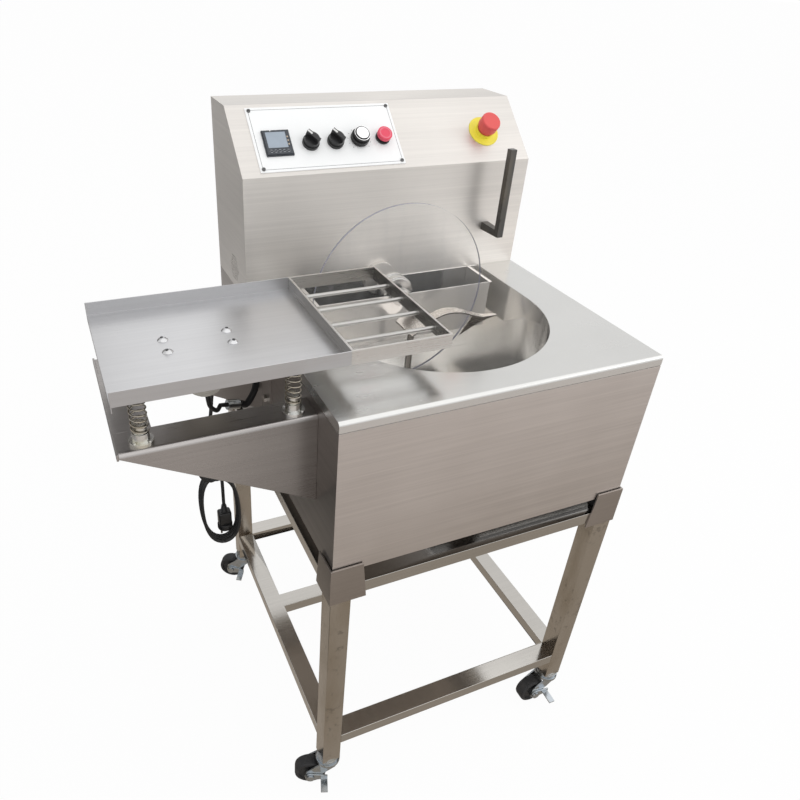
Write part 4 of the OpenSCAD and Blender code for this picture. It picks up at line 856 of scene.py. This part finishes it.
def controllerParts(plan):
    u, v = plan["place"]
    floor = plan["keyFloor"]
    # painted highlight: pale grey rims round the dark key caps stand in for the keys' bright edges
    for name, (wide, high, rise), finish in (("controllerKeys", plan["keyHighlightRim"], "keyPlastic"),
                                             ("controllerKeyCaps", plan["keyCap"], "bezelPlastic")):
        key = block("key", (-wide / 2, -high / 2, 0), (wide / 2, high / 2, rise), 0.3)
        keys = inLine(name, key, plan["keys"], plan["keyStep"], finish)
        keys.transform(onPanel(u, v + plan["keyRow"], floor))
        addPiece(name, keys, finish, "frame")
    half = plan["lampHalf"]
    lamps = joined("controllerLamps", *[block("lamp", (-half, h - half, 0), (half, h + half, 0.8), 0.25)
                                        for h in plan["lamps"]])
    lamps.transform(onPanel(u + plan["lampAcross"], v, plan["lampFloor"]))
    addPiece("controllerLamps", lamps, "lampAmber", "frame")
    light = lathe("controllerLight", [(0, 0.5), (0.8, 0.4), (1.2, 0), (1.2, -0.3), (0, -0.3)], 20)
    light.transform(onPanel(u + plan["light"][0], v + plan["light"][1], plan["faceTop"]))
    addPiece("controllerLight", light, "markWhite", "frame")


def knobParts(plan):
    half, (near, far), top = plan["markHalf"], plan["markReach"], plan["markTop"]
    for name in ("selector_left", "selector_right"):
        mark = block("mark", (-half, near, top - 0.6), (half, far, top + 0.1), 0.2)
        mark.transform(onPanel(*plan[name]) @ Matrix.Rotation(radians(plan["turn"]), 4, "Z"))
        addPiece(camel(name) + "Mark", mark, "markWhite", bodyOf[name])
    top, wide = plan["capTop"], plan["capWide"]
    cap = lathe("dialCap", [(0, top + 0.5), (wide - 1.6, top + 0.5), (wide - 0.5, top + 0.35), (wide, top),
                            (wide, top - 0.5), (0, top - 0.5)], 64)
    cap.transform(onPanel(*plan["dial"]))
    addPiece("dialCap", cap, "capSilver", bodyOf["dial_knob"])
    ring = lathe("dialRing", [(13.2, 18.2), (13.2, 18.5), (13.7, 18.7), (14.2, 18.4), (14.3, 17.8),
                              (13.2, 18.2)], 64)
    ring.transform(onPanel(*plan["dial"]))
    addPiece("dialRing", ring, "capSilver", bodyOf["dial_knob"])
    tick = block("tick", (-0.35, plan["tickIn"], -0.05), (0.35, plan["tickOut"], 0.06), 0.02, 1)
    spread = plan["tickTurn"]
    ticks = inRing("dialTicks", tick, plan["ticks"], spread / 2, -spread / (plan["ticks"] - 1), "printGrey")
    ticks.transform(onPanel(*plan["dial"]))
    addPiece("dialTicks", ticks, "printGrey", "frame")
    top = plan["redTop"]
    ring = lathe("redRing", [(8.6, top - 0.2), (8.6, top + 0.2), (9.2, top + 0.5), (10.4, top + 0.5),
                             (11, top + 0.2), (11, top - 0.2), (8.6, top - 0.2)], 64)
    ring.transform(onPanel(*plan["red"]))
    addPiece("redRing", ring, "ringRed", bodyOf["red_button"])


borderLine(panel)
controllerParts(controller)
knobParts(knobs)
print("panel details added")

# scraper: a bent strap that narrows to its tip, on a post in the tank

scraperPlan = dict(nearEdge=-158.8, thick=3, edge=0.7, post=(-19.5, -141.8), postWide=6, footWide=22,
                   footThick=4, postTop=-45, floor=-183, bladeThick=2,
                   blade=((95, -25.2), (73, -61), (97, -48), (127, -36.5), (146, -33)),
                   bends=((-27, -46.5, -95.3), (-5, -34, -95.3), (12, -21.2, -134), (36, -13, -136.2),
                          (54.5, -12.4, -136.6), (76, -16.5, -137), (95, -23.7, -137.5), (114.5, -30.1, -142),
                          (126, -30.9, -147), (140, -31.2, -149), (146.5, -31.2, -151), (149, -31.2, -154)))


def hangingBlade(plan, line):  # upright blade under the strap's tip
    left, right = plan["blade"][0][0], plan["blade"][-1][0]
    upper = [(x, z - plan["thick"] / 2) for x, far, z in line if left < x < right]
    outline = upper + list(plan["blade"][::-1])
    near = plan["nearEdge"] + 0.2
    bm = bmesh.new()
    sides = [[bm.verts.new(at(x, y, z)) for x, z in outline] for y in (near, near + plan["bladeThick"])]
    count = len(outline)
    for k in range(count):
        bm.faces.new((sides[0][k], sides[0][(k + 1) % count], sides[1][(k + 1) % count], sides[1][k]))
    for side in sides:
        bm.faces.new(side)
    bmesh.ops.recalc_face_normals(bm, faces=bm.faces)
    mesh = bpy.data.meshes.new("blade")
    bm.to_mesh(mesh)
    bm.free()
    return mesh


def makeScraper(plan):
    line = through([Vector((x, far, z)) for x, z, far in plan["bends"]], 5)
    near, thick = plan["nearEdge"], plan["thick"]
    bm = bmesh.new()
    rings = []
    for x, far, z in line:
        corners = [(x, near, z), (x, far, z), (x, far, z - thick), (x, near, z - thick)]
        rings.append([bm.verts.new(at(*corner)) for corner in corners])
    for one, two in zip(rings, rings[1:]):
        for k in range(4):
            bm.faces.new((one[k], one[(k + 1) % 4], two[(k + 1) % 4], two[k]))
    bm.faces.new(rings[0])
    bm.faces.new(rings[-1])
    bmesh.ops.recalc_face_normals(bm, faces=bm.faces)
    sharp = [e for e in bm.edges if e.calc_face_angle(0) > radians(40)]
    bmesh.ops.bevel(bm, geom=sharp, offset=plan["edge"] / 1000, segments=2, profile=0.5, affect="EDGES")
    strap = bpy.data.meshes.new("strap")
    bm.to_mesh(strap)
    bm.free()
    blade = hangingBlade(plan, line)
    r, foot, rise = plan["postWide"], plan["footWide"], plan["footThick"]
    tall = plan["postTop"] - plan["floor"]
    post = lathe("post", [(0, 0), (foot - 0.5, 0), (foot, 0.5), (foot, rise - 0.8), (foot - 0.8, rise),
                          (r + 1.5, rise), (r + 0.4, rise + 0.5), (r, rise + 1.5), (r, tall), (0, tall)])
    post.transform(Matrix.Translation(at(*plan["post"], plan["floor"])))
    addPiece("scraper", evenNormals(joined("scraper", strap, post, blade)), "scraperSteel", bodyOf["scraper"],
             ["scraper"])


makeScraper(scraperPlan)
print("scraper bent")

# painted shade: dark hexagons on the heads of the table's bolts stand in for their sockets

boltPlan = dict(headWide=14, socketWide=5.2, socketHigh=0.25)


def boltSockets(plan):
    low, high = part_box("tray_bolts")
    half = plan["headWide"] / 2000
    angles = [radians(60 * k) for k in range(6)]
    bm = bmesh.new()
    r, rise = plan["socketWide"] / 2000, plan["socketHigh"] / 1000
    for x in (low.x + half, high.x - half):
        for y in (low.y + half, high.y - half):
            lower, upper = ([bm.verts.new((x + r * cos(a), y + r * sin(a), z)) for a in angles]
                            for z in (high.z - rise, high.z + rise / 2))
            bm.faces.new(upper)
            bm.faces.new(lower[::-1])
            for k in range(6):
                bm.faces.new((lower[k], lower[(k + 1) % 6], upper[(k + 1) % 6], upper[k]))
    bmesh.ops.recalc_face_normals(bm, faces=bm.faces)
    mesh = bpy.data.meshes.new("boltSockets")
    bm.to_mesh(mesh)
    bm.free()
    addPiece("boltSockets", mesh, "socketDark", bodyOf["tray_bolts"])


boltSockets(boltPlan)

# painted shade: a black disc behind the holes in the housing's side stands in for the dark inside

ventPlan = dict(middle=(-278.6, 75.5, 21), wide=58, thick=1.6)


def makeVentShadeDisc(plan):
    r, thick = plan["wide"] / 2, plan["thick"]
    mesh = lathe("ventPad", [(0, 0), (r, 0), (r, thick), (0, thick)], 40)
    mesh.transform(Matrix.Translation(at(*plan["middle"])) @ Matrix.Rotation(pi / 2, 4, "Y"))
    addPiece("ventPad", mesh, "blackPlastic", bodyOf["housing_shell"])


makeVentShadeDisc(ventPlan)
print("vent pad set")

# springs

springPlan = dict(wire=1.2, outer=12.0, turns=6.5, foot=-16.0, top=43.5, across=(-522.5, -311.0),
                  deep=(-332.0, -107.0))


def makeSprings(plan):
    rise = plan["top"] - plan["foot"]
    tree = Repeat("springs", wire=plan["wire"] / 1000, radius=(plan["outer"] - plan["wire"]) / 1000,
                  rise=(rise - 2 * plan["wire"]) / 1000, turns=plan["turns"])
    coil = tree.make("GeometryNodeCurveSpiral", None,
                     {"Resolution": 40, "Rotations": tree.size("turns"), "Start Radius": tree.size("radius"),
                      "End Radius": tree.size("radius"), "Height": tree.size("rise")})
    ring = tree.make("GeometryNodeCurvePrimitiveCircle", dict(mode="RADIUS"),
                     {"Resolution": 12, "Radius": tree.size("wire")})
    tube = tree.make("GeometryNodeCurveToMesh", None,
                     {"Curve": coil, "Profile Curve": ring, "Fill Caps": True})
    join = tree.tree.nodes.new("GeometryNodeJoinGeometry")
    for x in plan["across"]:
        for y in plan["deep"]:
            moved = tree.make("GeometryNodeTransform", None,
                              {"Geometry": tube, "Translation": at(x, y, plan["foot"] + plan["wire"])})
            tree.tree.links.new(moved.socket, join.inputs[0])
    mesh = tree.bake(Wire(tree, join.outputs[0]), "springWire")
    sharpen(mesh, 50)
    piece = bpy.data.objects.new("coilSprings", mesh)
    scene.collection.objects.link(piece)
    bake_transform(piece)
    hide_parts("springs")


makeSprings(springPlan)
print("springs wound")

# motor lead and its conduit

leadPlan = dict(radius=3.5, conduit=5.5, exit=(-412.5, -241.25, -34.5), port=(-280.5, -167.75, -51.0),
                coupling=((-379.5, -218.75, -77.0), (-359.0, -215.25, -82.0)))


def makeLead(plan):
    start, port = Vector(plan["exit"]), Vector(plan["port"])
    near, far = (Vector(p) for p in plan["coupling"])
    way = (far - near).normalized()
    lead = through([start + Vector((0, 0, 7)), start, start - Vector((0, 0, 10)),
                    start + Vector((3.5, 2.5, -27)), start + Vector((14.5, 11, -41.5)), near - 11 * way], 6)
    lead += [near - 4 * way, near]
    pipe = through([far + 5 * way, far + 14 * way, port - Vector((49, 34, 19.5)),
                    port - Vector((36.5, 12, 3.5)), port - Vector((24, 0, 0)), port - Vector((17, 0, 0))], 6)
    pipe = [far] + pipe + [port - Vector((13, 0, 0))]
    first = tubeCurve("motorLead", lead, plan["radius"], "cordJacket")
    second = tubeCurve("motorConduit", pipe, plan["conduit"], "cordJacket")
    for piece in (first, second):
        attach(piece, "frame")
        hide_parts("motor_lead")


makeLead(leadPlan)
print("motor lead laid")
